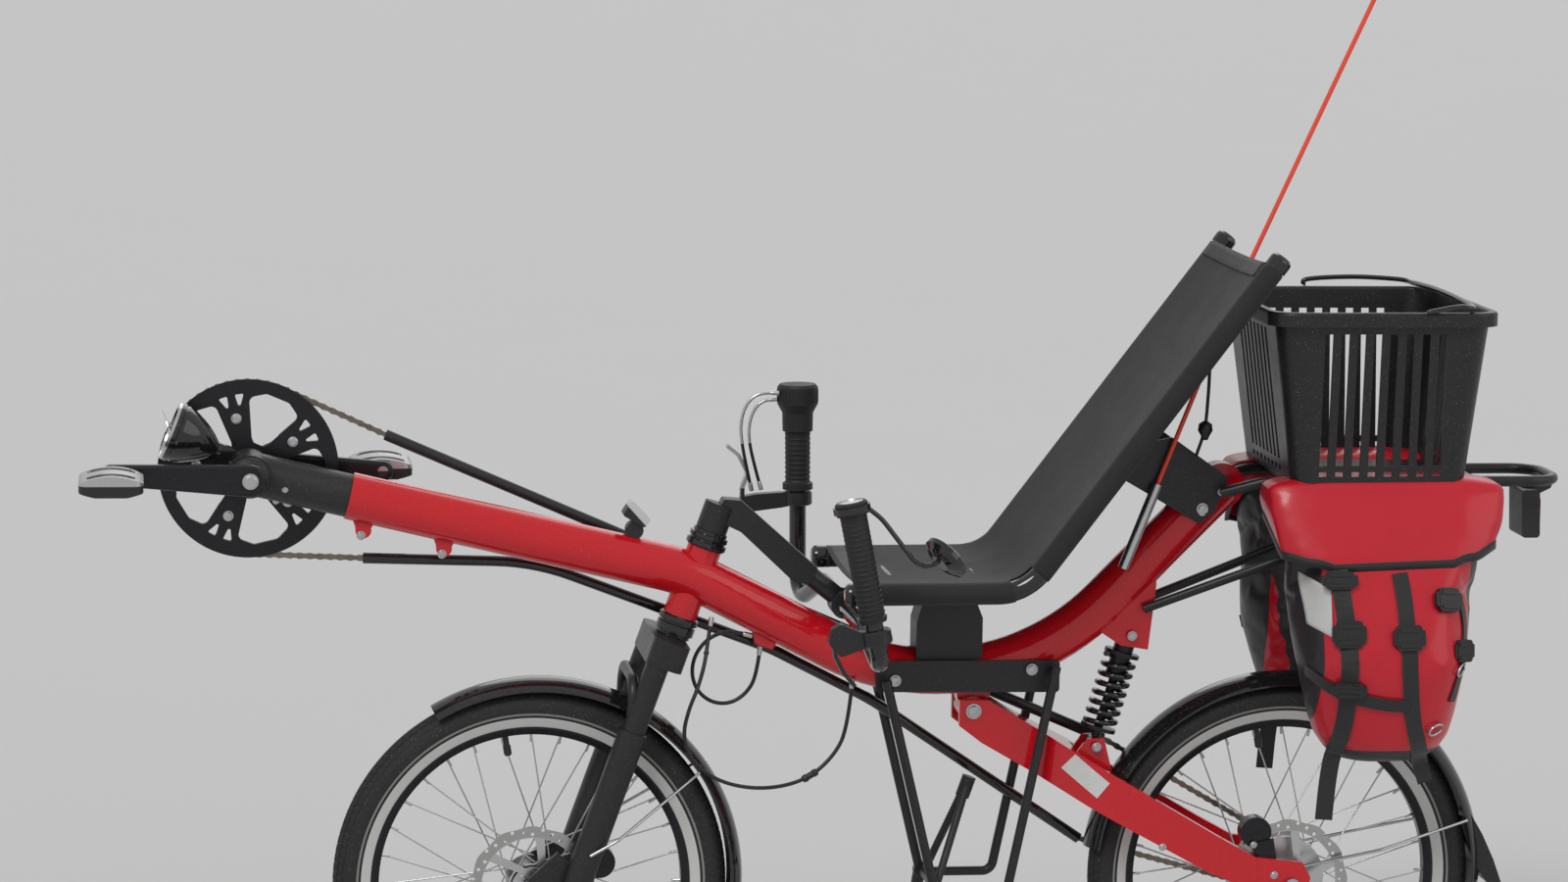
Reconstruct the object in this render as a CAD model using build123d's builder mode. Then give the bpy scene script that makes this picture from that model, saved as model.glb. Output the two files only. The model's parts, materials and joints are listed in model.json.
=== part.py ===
"""Recumbent bicycle with two 20 inch wheels, sling seat, low handlebar, rack, basket and two panniers.

The bicycle points towards -X, +Y is its right-hand (drive) side and +Z is up. Z = 0 is the floor.
Lengths are millimetres. Along the bicycle, places are given from the front axle, and FRONT_AXLE_X
puts the origin on the floor under the middle of the bicycle's length.
"""
import os
from math import acos, atan, atan2, cos, hypot, pi, radians, sin, sqrt, tan

from build123d import *

os.makedirs("parts", exist_ok=True)

# Fits: RUN is a running fit's radial clearance, SEAT_GAP lies between pieces that rest on each other
RUN = 0.1
SEAT_GAP = 0.3

# Wheels
WHEELBASE = 970.0
BEAD_SEAT_D = 406.0
TYRE_W = 47.0
WHEEL_R = BEAD_SEAT_D / 2 + TYRE_W
RIM_W = 26.0
RIM_INNER_R = 192.0
SPOKE_D = 2.0
SPOKES = 32
FRONT_HUB_W = 100.0
REAR_HUB_W = 135.0
DISC_D = 160.0
DISC_T = 2.0
FRONT_DISC_Y = -36.0
REAR_DISC_Y = -52.0

# Places along the bicycle, from the front axle
REAR_REACH = 1318.0
REAR_X = WHEELBASE

# Main tube: its centreline's corners as (x, z), and the bend at each inner corner
TUBE_D = 60.0
TUBE_WALL = 2.5
TUBE_START = (-231.0, 746.5)
TUBE_HEAD = (194.0, 647.6)
TUBE_LOW = (578.5, 449.6)
TUBE_END = (880.0, 757.0)
HEAD_BEND = 250.0
PLATE_BOLTS = ((458.0, 512.0), (634.0, 526.0))
BOLT_D = 8.0
LOW_BEND = 300.0
GUSSET_Y = 16.5
GUSSET_T = 5.0

# Steering
HEAD_ANGLE = 19.5
HEAD_TILT = radians(HEAD_ANGLE)
HEAD_X, HEAD_Z = 187.3, 592.0
HEAD_TUBE_L = 92.0
HEAD_TUBE_D = 44.0
STEERER_D = 28.6
LEG_OFFSET = 15.0
LEG_Y = 66.0
UPPER_LEG_D = 30.0
LOWER_LEG_D = 37.0
BAR_D = 22.2
BAR_X, BAR_Z = 395.0, 606.0
GRIP_Y = 285.0

# Cranks
CRANK_X = -355.0
TUBE_RISE = (TUBE_START[1] - TUBE_HEAD[1]) / (TUBE_HEAD[0] - TUBE_START[0])
CRANK_Z = TUBE_START[1] + (TUBE_START[0] - CRANK_X) * TUBE_RISE
CRANK_L = 170.0
CRANK_TILT = 2.7
BB_W = 73.0
BB_D = 54.0
BOOM_FIT = 0.2
BOOM_D = TUBE_D - 2 * (TUBE_WALL + BOOM_FIT)
SPINDLE_D = 24.0
SPINDLE_SEAT = 6.0
CHAIN_Y = 47.0
CHAIN_TUBE_D = 14.0
CHAIN_PITCH = 12.7
CHAIN_H = 8.4
CHAIN_PLATE_T = 1.2
CHAIN_PLATE_Y = 3.0
ROLLER_D = 7.75
TOOTH_H = 3.2
RING_TEETH = 54
SPROCKET_TEETH = 16
RING_T = 2.2
GUARD_D = 226.0
GUARD_T = 2.5
GUARD_Y = CHAIN_Y - 5.65
SPIDER_ARMS = 5
SPIDER_TURN = 31.4
SPIDER_BOLT_R = 65.0
SPIDER_T = 6.0
CUP_D = 50.0
CRANK_T = 14.0
CRANK_EDGE_R = 4.5
CRANK_Y = 71.0
PEDAL_L = 96.0
PEDAL_W = 78.0
PEDAL_T = 26.0
FRONT_REACH = -CRANK_X + CRANK_L * cos(radians(CRANK_TILT)) + PEDAL_W / 2
FRONT_AXLE_X = -(REAR_REACH - FRONT_REACH) / 2

# Seat
SEAT_HALF_W = 155.0
RAIL_D = 25.0
SEAT_FRONT = (382.0, 642.0)
SEAT_BEND = (603.0, 643.0)
SEAT_TOP = (915.0, 1058.0)
SEAT_BEND_R = 70.0
CROSS_TUBE_D = 16.0
CAP_L = 12.0
CAP_T = 2.0
SEAT_CROSS = ((450.0, 640.0), (560.0, 640.0), (725.0, 795.0), (824.0, 932.0))
SLING_T = 5.0
SLING_UP = 11.0

# Swing arm and shock
PIVOT_X, PIVOT_Z = 561.0, 471.0
SHOCK_TOP = (766.0, 565.0)
SHOCK_FOOT = (723.0, 421.0)
DROPOUT_T = 8.0
ARM_IN_Y = REAR_HUB_W / 2 - 9
ARM_OUT_Y = REAR_HUB_W / 2 + 10.5
AXLE_D = 10.0

# Luggage
DECK_Z = 775.0
RACK_TUBE_D = 14.0
RACK_HALF_W = 60.0
STRUT_D = 12.0
BASKET_H = 220.0
BASKET_WALL = 3.0
BAG_OUT_Y = 240.0
BAG_IN_Y = RACK_HALF_W + RACK_TUBE_D / 2 + SEAT_GAP

# Mudguards: outer radius, width, edge depth, wall and each one's centre as (x, z)
MUD_R = 263.0
MUD_W = 58.0
MUD_DEPTH = 14.0
MUD_T = 2.5
FRONT_GUARD = (8.0, 253.0)
REAR_GUARD = (REAR_X + 4, 252.0)

# Stand
STAND_X, STAND_Z = 511.0, 243.0
STAND_FOOT_X = 495.0
STAND_FOOT_Y = 150.0
STAND_LEG_Y = 82.0
HOOP_TUBE_D = 12.0
HOOP_Y = CHAIN_Y + (CHAIN_TUBE_D + HOOP_TUBE_D) / 2 + SEAT_GAP
HOOP_TOPS = ((446.0, 507.0), (660.0, 523.0))


def spot(x, y, z):
    """A point given from the front axle's place on the floor."""
    return Vector(FRONT_AXLE_X + x, y, z)


def side(y=0.0):
    """The side view's plane at y: local x runs rearwards, local y up, and the normal points left."""
    return Plane(origin=(FRONT_AXLE_X, y, 0), x_dir=(1, 0, 0), z_dir=(0, -1, 0))


def head_point(height, forward=0.0):
    """A point (x, z) on the head axis at a height z, moved forward square to the axis."""
    x = HEAD_X + (height - HEAD_Z) * tan(HEAD_TILT)
    return x - forward * cos(HEAD_TILT), height + forward * sin(HEAD_TILT)


def head_plane(height, forward=0.0):
    """A plane square to the head axis: local x runs rearwards along it, local y to the right."""
    x, z = head_point(height, forward)
    return Plane(
        origin=spot(x, 0, z),
        x_dir=(cos(HEAD_TILT), 0, -sin(HEAD_TILT)),
        z_dir=(sin(HEAD_TILT), 0, cos(HEAD_TILT)),
    )


def rod(points, diameter, bend=None, bore=0.0, mode=Mode.ADD):
    """A round bar or tube along the points, with bend as its corners' radius or radii."""
    with BuildLine() as route:
        if bend is None:
            Polyline(*points)
        else:
            FilletPolyline(*points, radius=bend)
    with BuildSketch(Plane(origin=route.line @ 0, z_dir=route.line % 0)) as section:
        Circle(diameter / 2)
        if bore:
            Circle(bore / 2, mode=Mode.SUBTRACT)
    sweep(section.sketch, path=route.line, mode=mode)


def boss(x, z, y, diameter, width, bore=0.0, mode=Mode.ADD):
    """A round boss across the bicycle, centred at y."""
    with BuildSketch(side(y)) as section:
        with Locations((x, z)):
            Circle(diameter / 2)
            if bore:
                Circle(bore / 2, mode=Mode.SUBTRACT)
    extrude(section.sketch, amount=width / 2, both=True, mode=mode)


def plate(corners, y, thickness, holes=(), round_r=0.0, mode=Mode.ADD):
    """A flat plate in the side view, centred at y. holes are (x, z, diameter)."""
    with BuildSketch(side(y)) as section:
        with BuildLine():
            Polyline(*corners, close=True)
        make_face()
        if round_r:
            fillet(section.vertices(), round_r)
        for hole_x, hole_z, hole_d in holes:
            with Locations((hole_x, hole_z)):
                Circle(hole_d / 2, mode=Mode.SUBTRACT)
    extrude(section.sketch, amount=thickness / 2, both=True, mode=mode)


def turned(origin, direction, profile, mode=Mode.ADD):
    """A turned piece on an axis: profile lists (distance along it, radius)."""
    axis = Axis(origin, direction)
    across = axis.direction.cross(Vector(0, 1, 0))
    if across.length < 0.1:
        across = Vector(1, 0, 0)
    with BuildSketch(Plane(origin=origin, x_dir=axis.direction, z_dir=across)) as half:
        with BuildLine():
            Polyline((profile[0][0], 0), *profile, (profile[-1][0], 0), close=True)
        make_face()
    revolve(half.sketch, axis=axis, mode=mode)


def cable(points, diameter):
    """A round cable along the points, with each bend as wide as its two runs allow."""
    runs = [(b - a).length for a, b in zip(points, points[1:])]
    bends = []
    for before, after, left, corner, right in zip(runs, runs[1:], points, points[1:], points[2:]):
        turn = (corner - left).get_angle(right - corner)
        bends.append(0.45 * min(before, after) / tan(radians(turn / 2)))
    rod(points, diameter, bend=bends)


def sprocket_face(x, z, teeth):
    """A toothed disc in the current sketch: the rollers' places are cut from its edge."""
    pitch_r = CHAIN_PITCH / (2 * sin(pi / teeth))
    with Locations((x, z)):
        Circle(pitch_r + TOOTH_H)
        with PolarLocations(pitch_r, teeth):
            Circle(ROLLER_D / 2 + RUN, mode=Mode.SUBTRACT)


# Main frame: one bent tube with the head tube, lugs, shock gusset and pivot tube welded to it
with BuildPart() as main_frame:
    with BuildLine() as tube_route:
        FilletPolyline(
            spot(TUBE_START[0], 0, TUBE_START[1]),
            spot(TUBE_HEAD[0], 0, TUBE_HEAD[1]),
            spot(TUBE_LOW[0], 0, TUBE_LOW[1]),
            spot(TUBE_END[0], 0, TUBE_END[1]),
            radius=(HEAD_BEND, LOW_BEND),
        )
    tube_mouth = Plane(origin=tube_route.line @ 0, z_dir=tube_route.line % 0)
    with BuildSketch(tube_mouth) as tube_section:
        Circle(TUBE_D / 2)
    sweep(tube_section.sketch, path=tube_route.line)
    with BuildSketch(head_plane(HEAD_Z)) as head_section:
        Circle(HEAD_TUBE_D / 2)
    extrude(head_section.sketch, amount=HEAD_TUBE_L)
    boss(PIVOT_X, PIVOT_Z, 0, 34, 50)
    plate([(540, 500), (548, 462), (575, 462), (590, 505)], 0, 30)
    for lug_x, lug_drop in ((-213, 13), (-112, 13)):
        lug_z = TUBE_START[1] - (lug_x - TUBE_START[0]) * 0.2327 - TUBE_D / 2
        boss(lug_x, lug_z - lug_drop + 4, 0, 20, 16)
        plate(
            [(lug_x - 14, lug_z + 6), (lug_x - 9, lug_z - 8), (lug_x + 9, lug_z - 8), (lug_x + 14, lug_z + 2)],
            0, 16,
        )
    plate([(276, 590), (283, 556), (305, 548), (322, 572)], 0, 14)
    for gusset_y in (-GUSSET_Y, GUSSET_Y):
        plate(
            [(722, 572), (752, 552), (SHOCK_TOP[0] + 22, 546), (797, 629), (797, 650), (760, 620)],
            gusset_y, GUSSET_T,
        )
    boss(TUBE_END[0], TUBE_END[1], 0, TUBE_D - 2, 30)
    with BuildSketch(tube_mouth) as bore_section:
        Circle(TUBE_D / 2 - TUBE_WALL)
    extrude(bore_section.sketch, amount=190, mode=Mode.SUBTRACT)
    with BuildSketch(head_plane(HEAD_Z - 5)) as head_bore:
        Circle(HEAD_TUBE_D / 2 - 4)
    extrude(head_bore.sketch, amount=HEAD_TUBE_L + 10, mode=Mode.SUBTRACT)
    boss(SHOCK_TOP[0], SHOCK_TOP[1], 0, 8, 60, mode=Mode.SUBTRACT)
    for bolt_x, bolt_z in PLATE_BOLTS:
        boss(bolt_x, bolt_z, 0, BOLT_D + 2 * RUN, 80, mode=Mode.SUBTRACT)
main_frame.part.label = "main_frame"
export_step(main_frame.part, "parts/main_frame.step")

# Boom: the front tube that slides in the main tube, with the bottom bracket shell across its end
BOOM_SLOPE = atan((TUBE_START[1] - TUBE_HEAD[1]) / (TUBE_HEAD[0] - TUBE_START[0]))
with BuildPart() as boom:
    boom_end = (TUBE_START[0] + 120 * cos(BOOM_SLOPE), TUBE_START[1] - 120 * sin(BOOM_SLOPE))
    rod([spot(CRANK_X, 0, CRANK_Z), spot(boom_end[0], 0, boom_end[1])], BOOM_D)
    boss(CRANK_X, CRANK_Z, 0, BB_D, BB_W)
    turned(
        spot(CRANK_X, -BB_W / 2, CRANK_Z), (0, -1, 0),
        [(0, CUP_D / 2), (8, CUP_D / 2), (11, CUP_D / 2 - 3), (13, CUP_D / 2 - 8)],
    )
    boss(CRANK_X, CRANK_Z, 0, SPINDLE_D + 2 * RUN, BB_W + 2 * CUP_D, mode=Mode.SUBTRACT)
boom.part.label = "boom"
export_step(boom.part, "parts/boom.step")

# Headset: stacked rings above and below the head tube, in which the steerer turns
STEM_TOP = 700.0
CROWN_Z = 558.0
CROWN_H = 34.0
CROWN_DROP = 24.0
upper_stack = (STEM_TOP - HEAD_Z) / cos(HEAD_TILT) - HEAD_TUBE_L - SEAT_GAP
lower_stack = (HEAD_Z - CROWN_Z + CROWN_DROP) / cos(HEAD_TILT) - CROWN_H - SEAT_GAP
with BuildPart() as headset:
    for stack_foot, stack_up, stack_l in ((HEAD_TUBE_L, 1, upper_stack), (0, -1, lower_stack)):
        foot_plane = head_plane(HEAD_Z).offset(stack_foot)
        turned(
            foot_plane.origin, foot_plane.z_dir * stack_up,
            [(0, 24), (2, 26), (8, 26), (9, 23), (11, 23), (12, 25),
             (stack_l - 5, 25), (stack_l - 4, 22), (stack_l, 22)],
        )
    with BuildSketch(head_plane(CROWN_Z)) as steerer_way:
        Circle(STEERER_D / 2 + RUN)
    extrude(steerer_way.sketch, amount=175, mode=Mode.SUBTRACT)
headset.part.label = "headset"
export_step(headset.part, "parts/headset.step")

# Headlight: a reflector bowl with a bezel ring and a recessed lens, on a short bracket above the boom's front
LAMP = (-448.0, 828.0)
LAMP_Y = -4.0
LAMP_R = 38.0
LAMP_DROOP = 22.0
lamp_way = (cos(radians(LAMP_DROOP)), 0, -sin(radians(LAMP_DROOP)))
with BuildPart() as headlight:
    with BuildSketch(Plane(origin=spot(LAMP[0], LAMP_Y, LAMP[1]), x_dir=lamp_way, z_dir=(0, -1, 0))) as lamp_half:
        with BuildLine():
            Polyline(
                (-2, 0), (-2, LAMP_R - 5), (-6, LAMP_R - 4), (-6, LAMP_R - 1), (3, LAMP_R),
                (4, LAMP_R - 2), (8, LAMP_R - 1),
            )
            ThreePointArc((8, LAMP_R - 1), (38, 24), (58, 7))
            Polyline((58, 7), (63, 7), (63, 0), (-2, 0))
        make_face()
    revolve(lamp_half.sketch, axis=Axis(spot(LAMP[0], LAMP_Y, LAMP[1]), lamp_way))
    plate([(-415, 796), (-403, 818), (-372, 806), (-366, 790)], 0, 14, [(-404, 804, 5)])
    boss(-404, 804, 0, 12, 24)
    with BuildSketch(side()) as boom_room:
        with Locations((CRANK_X, CRANK_Z)):
            Circle(BB_D / 2)
    extrude(boom_room.sketch, amount=40, both=True, mode=Mode.SUBTRACT)
headlight.part.label = "headlight"
export_step(headlight.part, "parts/headlight.step")

# Small lamp on a strap clamp on top of the main tube
with BuildPart() as tube_lamp:
    boss(128, 702, 0, 22, 20)
    plate([(112, 722), (124, 741), (148, 716), (140, 706)], 0, 30, round_r=3)
    with BuildSketch(tube_mouth) as lamp_room:
        Circle(TUBE_D / 2 + SEAT_GAP)
    extrude(lamp_room.sketch, amount=460, mode=Mode.SUBTRACT)
tube_lamp.part.label = "tube_lamp"
export_step(tube_lamp.part, "parts/tube_lamp.step")

# Chain tubes on the drive side: the power side runs straight, the return side bends under the seat
UPPER_RUN = [(-183.0, 817.0), (745.0, 419.0)]
RETURN_RUN = [(-211.0, 660.0), (6.0, 654.0), (308.0, 541.0), (440.0, 473.0), (716.0, 287.0)]
with BuildPart() as chain_upper_tube:
    rod([spot(x, CHAIN_Y, z) for x, z in UPPER_RUN], CHAIN_TUBE_D, bore=10)
chain_upper_tube.part.label = "chain_upper_tube"
export_step(chain_upper_tube.part, "parts/chain_upper_tube.step")

with BuildPart() as chain_return_tube:
    rod([spot(x, CHAIN_Y, z) for x, z in RETURN_RUN], CHAIN_TUBE_D, bend=(300, 250, 300), bore=10)
chain_return_tube.part.label = "chain_return_tube"
export_step(chain_return_tube.part, "parts/chain_return_tube.step")

# Chain: its two rows of side plates, round the chainring in front and the hub's sprocket behind.
# loop centre, teeth, the tube mouths of its upper and lower run, and the side on which it wraps
CHAIN_LOOPS = (
    ((CRANK_X, CRANK_Z), RING_TEETH, UPPER_RUN[0], RETURN_RUN[0], 1),
    ((REAR_X, WHEEL_R), SPROCKET_TEETH, UPPER_RUN[-1], RETURN_RUN[-1], -1),
)
with BuildPart() as chain:
    for (loop_x, loop_z), teeth, upper_mouth, lower_mouth, wrap in CHAIN_LOOPS:
        loop_r = CHAIN_PITCH / (2 * sin(pi / teeth))
        tangents = []
        for (mouth_x, mouth_z), turn_side in ((upper_mouth, wrap), (lower_mouth, -wrap)):
            reach = hypot(mouth_x - loop_x, mouth_z - loop_z)
            tangents.append(atan2(mouth_z - loop_z, mouth_x - loop_x) + turn_side * acos(loop_r / reach))
        upper_turn, lower_turn = tangents
        if wrap > 0:
            lower_turn += 2 * pi
        else:
            lower_turn -= 2 * pi * (lower_turn > 0)
        corners = [
            (loop_x + loop_r * cos(turn), loop_z + loop_r * sin(turn))
            for turn in (upper_turn, (upper_turn + lower_turn) / 2, lower_turn)
        ]
        for plate_side in (-1, 1):
            with BuildSketch(side(CHAIN_Y + plate_side * CHAIN_PLATE_Y)) as links:
                with BuildLine() as chain_line:
                    Line(upper_mouth, corners[0])
                    ThreePointArc(*corners)
                    Line(corners[2], lower_mouth)
                trace(chain_line.line, line_width=CHAIN_H)
            extrude(links.sketch, amount=CHAIN_PLATE_T / 2, both=True)
    for (near_x, near_z), (far_x, far_z) in (UPPER_RUN, RETURN_RUN[:2], RETURN_RUN[-2:]):
        rod([spot(near_x, CHAIN_Y, near_z), spot(far_x, CHAIN_Y, far_z)], 2 * CHAIN_TUBE_D, mode=Mode.SUBTRACT)
chain.part.label = "chain"
export_step(chain.part, "parts/chain.step")

# Swing arm: the side outline crossed with the plan outline, open round the wheel, with two dropouts
with BuildPart() as swing_arm:
    with BuildSketch(side()) as arm_side:
        with BuildLine():
            Polyline(
                (543, 452), (543, 485), (580, 485), (754, 384), (REAR_X - 94, 312), (REAR_X - 45, 285),
                (REAR_X - 45, 240), (REAR_X - 110, 268), (740, 334), (572, 430), close=True,
            )
        make_face()
    extrude(arm_side.sketch, amount=80, both=True)
    with BuildSketch(Plane(origin=(FRONT_AXLE_X, 0, 0))) as arm_plan:
        with BuildLine():
            Polyline(
                (540, -33), (645, -38), (705, -ARM_OUT_Y), (REAR_X - 40, -ARM_OUT_Y),
                (REAR_X - 40, ARM_OUT_Y), (705, ARM_OUT_Y), (645, 38), (540, 33), close=True,
            )
        make_face()
        with BuildLine():
            Polyline(
                (700, -46), (720, -ARM_IN_Y), (REAR_X - 30, -ARM_IN_Y),
                (REAR_X - 30, ARM_IN_Y), (720, ARM_IN_Y), (700, 46), close=True,
            )
        make_face(mode=Mode.SUBTRACT)
        with Locations((PIVOT_X, 0)):
            Rectangle(46, 51, mode=Mode.SUBTRACT)
    extrude(arm_plan.sketch, amount=600, mode=Mode.INTERSECT)
    for arm_side in (-1, 1):
        plate(
            [(REAR_X - 65, 296), (REAR_X - 45, 285), (REAR_X + 15, 278), (REAR_X + 26, 258), (REAR_X + 20, 232),
             (REAR_X - 10, 222), (REAR_X - 65, 248)],
            arm_side * (REAR_HUB_W + DROPOUT_T) / 2, DROPOUT_T,
        )
    for lug_y in (-GUSSET_Y, GUSSET_Y):
        plate([(696, 410), (712, 431), (734, 431), (745, 388)], lug_y, GUSSET_T)
    boss(REAR_X, WHEEL_R, 0, AXLE_D + 2 * RUN, 200, mode=Mode.SUBTRACT)
    boss(PIVOT_X, PIVOT_Z, 0, 10, 100, mode=Mode.SUBTRACT)
    boss(SHOCK_FOOT[0], SHOCK_FOOT[1], 0, 8, 60, mode=Mode.SUBTRACT)
swing_arm.part.label = "swing_arm"
export_step(swing_arm.part, "parts/swing_arm.step")

# Shock: damper with an eye at each end, and its spring
SHOCK_L = hypot(SHOCK_TOP[0] - SHOCK_FOOT[0], SHOCK_TOP[1] - SHOCK_FOOT[1])


def shock_plane(distance):
    """A plane square to the shock, at a distance up from its foot."""
    share = distance / SHOCK_L
    x = SHOCK_FOOT[0] + (SHOCK_TOP[0] - SHOCK_FOOT[0]) * share
    z = SHOCK_FOOT[1] + (SHOCK_TOP[1] - SHOCK_FOOT[1]) * share
    return Plane(
        origin=spot(x, 0, z),
        x_dir=(0, 1, 0),
        z_dir=(SHOCK_TOP[0] - SHOCK_FOOT[0], 0, SHOCK_TOP[1] - SHOCK_FOOT[1]),
    )


with BuildPart() as shock_body:
    for start, length, diameter in (
        (10, SHOCK_L - 20, 12), (SHOCK_L - 62, 48, 26), (20, 5, 46), (SHOCK_L - 30, 5, 46),
    ):
        with BuildSketch(shock_plane(start)) as step:
            Circle(diameter / 2)
        extrude(step.sketch, amount=length)
    for eye_x, eye_z in (SHOCK_TOP, SHOCK_FOOT):
        boss(eye_x, eye_z, 0, 20, 26)
    for eye_x, eye_z in (SHOCK_TOP, SHOCK_FOOT):
        boss(eye_x, eye_z, 0, 7.8, 50)
shock_body.part.label = "shock_body"
export_step(shock_body.part, "parts/shock_body.step")

# Spring: half-circle arcs, each tilted the other way from the last, which meet in line at their ends
SPRING_TURNS = 7
SPRING_WIRE = 7.0
SPRING_MEAN_R = 19.5
SPRING_LOW = 25.0 + SEAT_GAP + SPRING_WIRE / 2
SPRING_HIGH = SHOCK_L - 30 - SEAT_GAP - SPRING_WIRE / 2
with BuildPart() as shock_spring:
    half_turns = 2 * SPRING_TURNS
    rise = (SPRING_HIGH - SPRING_LOW) / half_turns
    base = shock_plane(SPRING_LOW)
    with BuildLine() as coil:
        for half in range(half_turns):
            way = 1 if half % 2 else -1
            arc_r = hypot(SPRING_MEAN_R, rise / 2)
            ThreePointArc(
                base.from_local_coords((0, -way * SPRING_MEAN_R, half * rise)),
                base.from_local_coords((way * arc_r, 0, (half + 0.5) * rise)),
                base.from_local_coords((0, way * SPRING_MEAN_R, (half + 1) * rise)),
            )
    with BuildSketch(Plane(origin=coil.line @ 0, z_dir=coil.line % 0)) as wire:
        Circle(SPRING_WIRE / 2)
    sweep(wire.sketch, path=coil.line)
shock_spring.part.label = "shock_spring"
export_step(shock_spring.part, "parts/shock_spring.step")

# Side plates and seat base: they clamp the seat and the carrier hoops over the main tube's low bend
PLATE_T = 5.0
PLATE_Y = TUBE_D / 2 + SEAT_GAP + PLATE_T / 2
with BuildPart() as side_plates:
    for plate_y in (-PLATE_Y, PLATE_Y):
        plate([(434, 537), (434, 497), (671, 495), (671, 536)], plate_y, PLATE_T, [(663, 521, 6)], round_r=5)
    for bolt_x, bolt_z in PLATE_BOLTS:
        boss(bolt_x, bolt_z, 0, BOLT_D, 2 * (PLATE_Y + PLATE_T / 2 + 3))
side_plates.part.label = "side_plates"
export_step(side_plates.part, "parts/side_plates.step")

with BuildPart() as seat_base:
    base_top = SEAT_CROSS[0][1] - CROSS_TUBE_D / 2 - SEAT_GAP
    plate([(487, 500), (487, 585), (500, base_top - 2), (556, base_top - 2), (572, 590), (572, 500)], 0, 52)
    plate([(440, base_top - 6), (440, base_top), (590, base_top), (590, base_top - 6)], 0, 130)
    with BuildSketch(tube_mouth) as tube_room:
        Circle(TUBE_D / 2 + SEAT_GAP)
    sweep(tube_room.sketch, path=tube_route.line, mode=Mode.SUBTRACT)
    plate([(480, 400), (480, 520), (580, 520), (580, 400)], 0, 80, mode=Mode.SUBTRACT)
seat_base.part.label = "seat_base"
export_step(seat_base.part, "parts/seat_base.step")

# Seat frame: two bent rails with end caps, and cross tubes under the sling
with BuildPart() as seat_frame:
    for rail_y in (-SEAT_HALF_W, SEAT_HALF_W):
        rod(
            [spot(SEAT_FRONT[0], rail_y, SEAT_FRONT[1]), spot(SEAT_BEND[0], rail_y, SEAT_BEND[1]),
             spot(SEAT_TOP[0], rail_y, SEAT_TOP[1])],
            RAIL_D, bend=SEAT_BEND_R,
        )
        for (end_x, end_z), (next_x, next_z) in ((SEAT_FRONT, SEAT_BEND), (SEAT_TOP, SEAT_BEND)):
            outward = Vector(end_x - next_x, 0, end_z - next_z).normalized()
            cap_r = RAIL_D / 2 + CAP_T
            turned(
                spot(end_x, rail_y, end_z) - outward * CAP_L, outward,
                [(0, cap_r), (CAP_L, cap_r), (CAP_L + 3, cap_r - 1), (CAP_L + 6, cap_r - 4),
                 (CAP_L + 7, cap_r - 8)],
            )
    for cross_x, cross_z in SEAT_CROSS:
        rod([spot(cross_x, -SEAT_HALF_W, cross_z), spot(cross_x, SEAT_HALF_W, cross_z)], CROSS_TUBE_D)
seat_frame.part.label = "seat_frame"
export_step(seat_frame.part, "parts/seat_frame.step")

# Sling: the stretched fabric between the rails
with BuildPart() as seat_sling:
    with BuildSketch(side()) as sling_side:
        with BuildLine() as sling_line:
            FilletPolyline(
                (400, SEAT_FRONT[1] + SLING_UP),
                (SEAT_BEND[0] - SLING_UP * 0.5, SEAT_BEND[1] + SLING_UP),
                (SEAT_TOP[0] - SLING_UP * 0.8 - 8, SEAT_TOP[1] + SLING_UP * 0.6 - 10),
                radius=SEAT_BEND_R - SLING_UP,
            )
        trace(sling_line.line, line_width=SLING_T)
    rail_reach = sqrt((RAIL_D / 2) ** 2 - (SLING_UP - SLING_T / 2) ** 2)
    extrude(sling_side.sketch, amount=SEAT_HALF_W - rail_reach - SEAT_GAP, both=True)
seat_sling.part.label = "seat_sling"
export_step(seat_sling.part, "parts/seat_sling.step")

# Slotted bracket from the main tube's end to the seat back
BRACKET_T = 4.0
BRACKET_Y = TUBE_D / 2 + SEAT_GAP + BRACKET_T / 2
with BuildPart() as seat_back_bracket:
    for bracket_y in (-BRACKET_Y, BRACKET_Y):
        plate(
            [(720, 784), (729, 806), (810, 822), (884, 770), (868, 728), (848, 710), (800, 738)],
            bracket_y, BRACKET_T,
            [(851, 724, 8)], round_r=4,
        )
        boss(SEAT_CROSS[2][0], SEAT_CROSS[2][1], bracket_y, CROSS_TUBE_D + 8, BRACKET_T)
    boss(SEAT_CROSS[2][0], SEAT_CROSS[2][1], 0, CROSS_TUBE_D + 2 * RUN, 100, mode=Mode.SUBTRACT)
seat_back_bracket.part.label = "seat_back_bracket"
export_step(seat_back_bracket.part, "parts/seat_back_bracket.step")

# Rack: two deck rails joined round the back, cross bars and two lower struts
with BuildPart() as rack:
    rod(
        [spot(872, -RACK_HALF_W + 14, 752), spot(925, -RACK_HALF_W, DECK_Z - 7),
         spot(REAR_REACH - 7, -RACK_HALF_W, DECK_Z - 7), spot(REAR_REACH - 7, RACK_HALF_W, DECK_Z - 7),
         spot(925, RACK_HALF_W, DECK_Z - 7), spot(872, RACK_HALF_W - 14, 752)],
        RACK_TUBE_D, bend=(40, 40, 40, 40),
    )
    for bar_x in (960, 1080, 1200):
        rod([spot(bar_x, -RACK_HALF_W, DECK_Z - 7), spot(bar_x, RACK_HALF_W, DECK_Z - 7)], 10)
    strut_y = GUSSET_Y + GUSSET_T / 2 + SEAT_GAP + STRUT_D / 2
    for strut_side in (-1, 1):
        rod([spot(780, strut_side * strut_y, 600), spot(1230, strut_side * RACK_HALF_W, DECK_Z - 7)], STRUT_D)
rack.part.label = "rack"
export_step(rack.part, "parts/rack.step")

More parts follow.
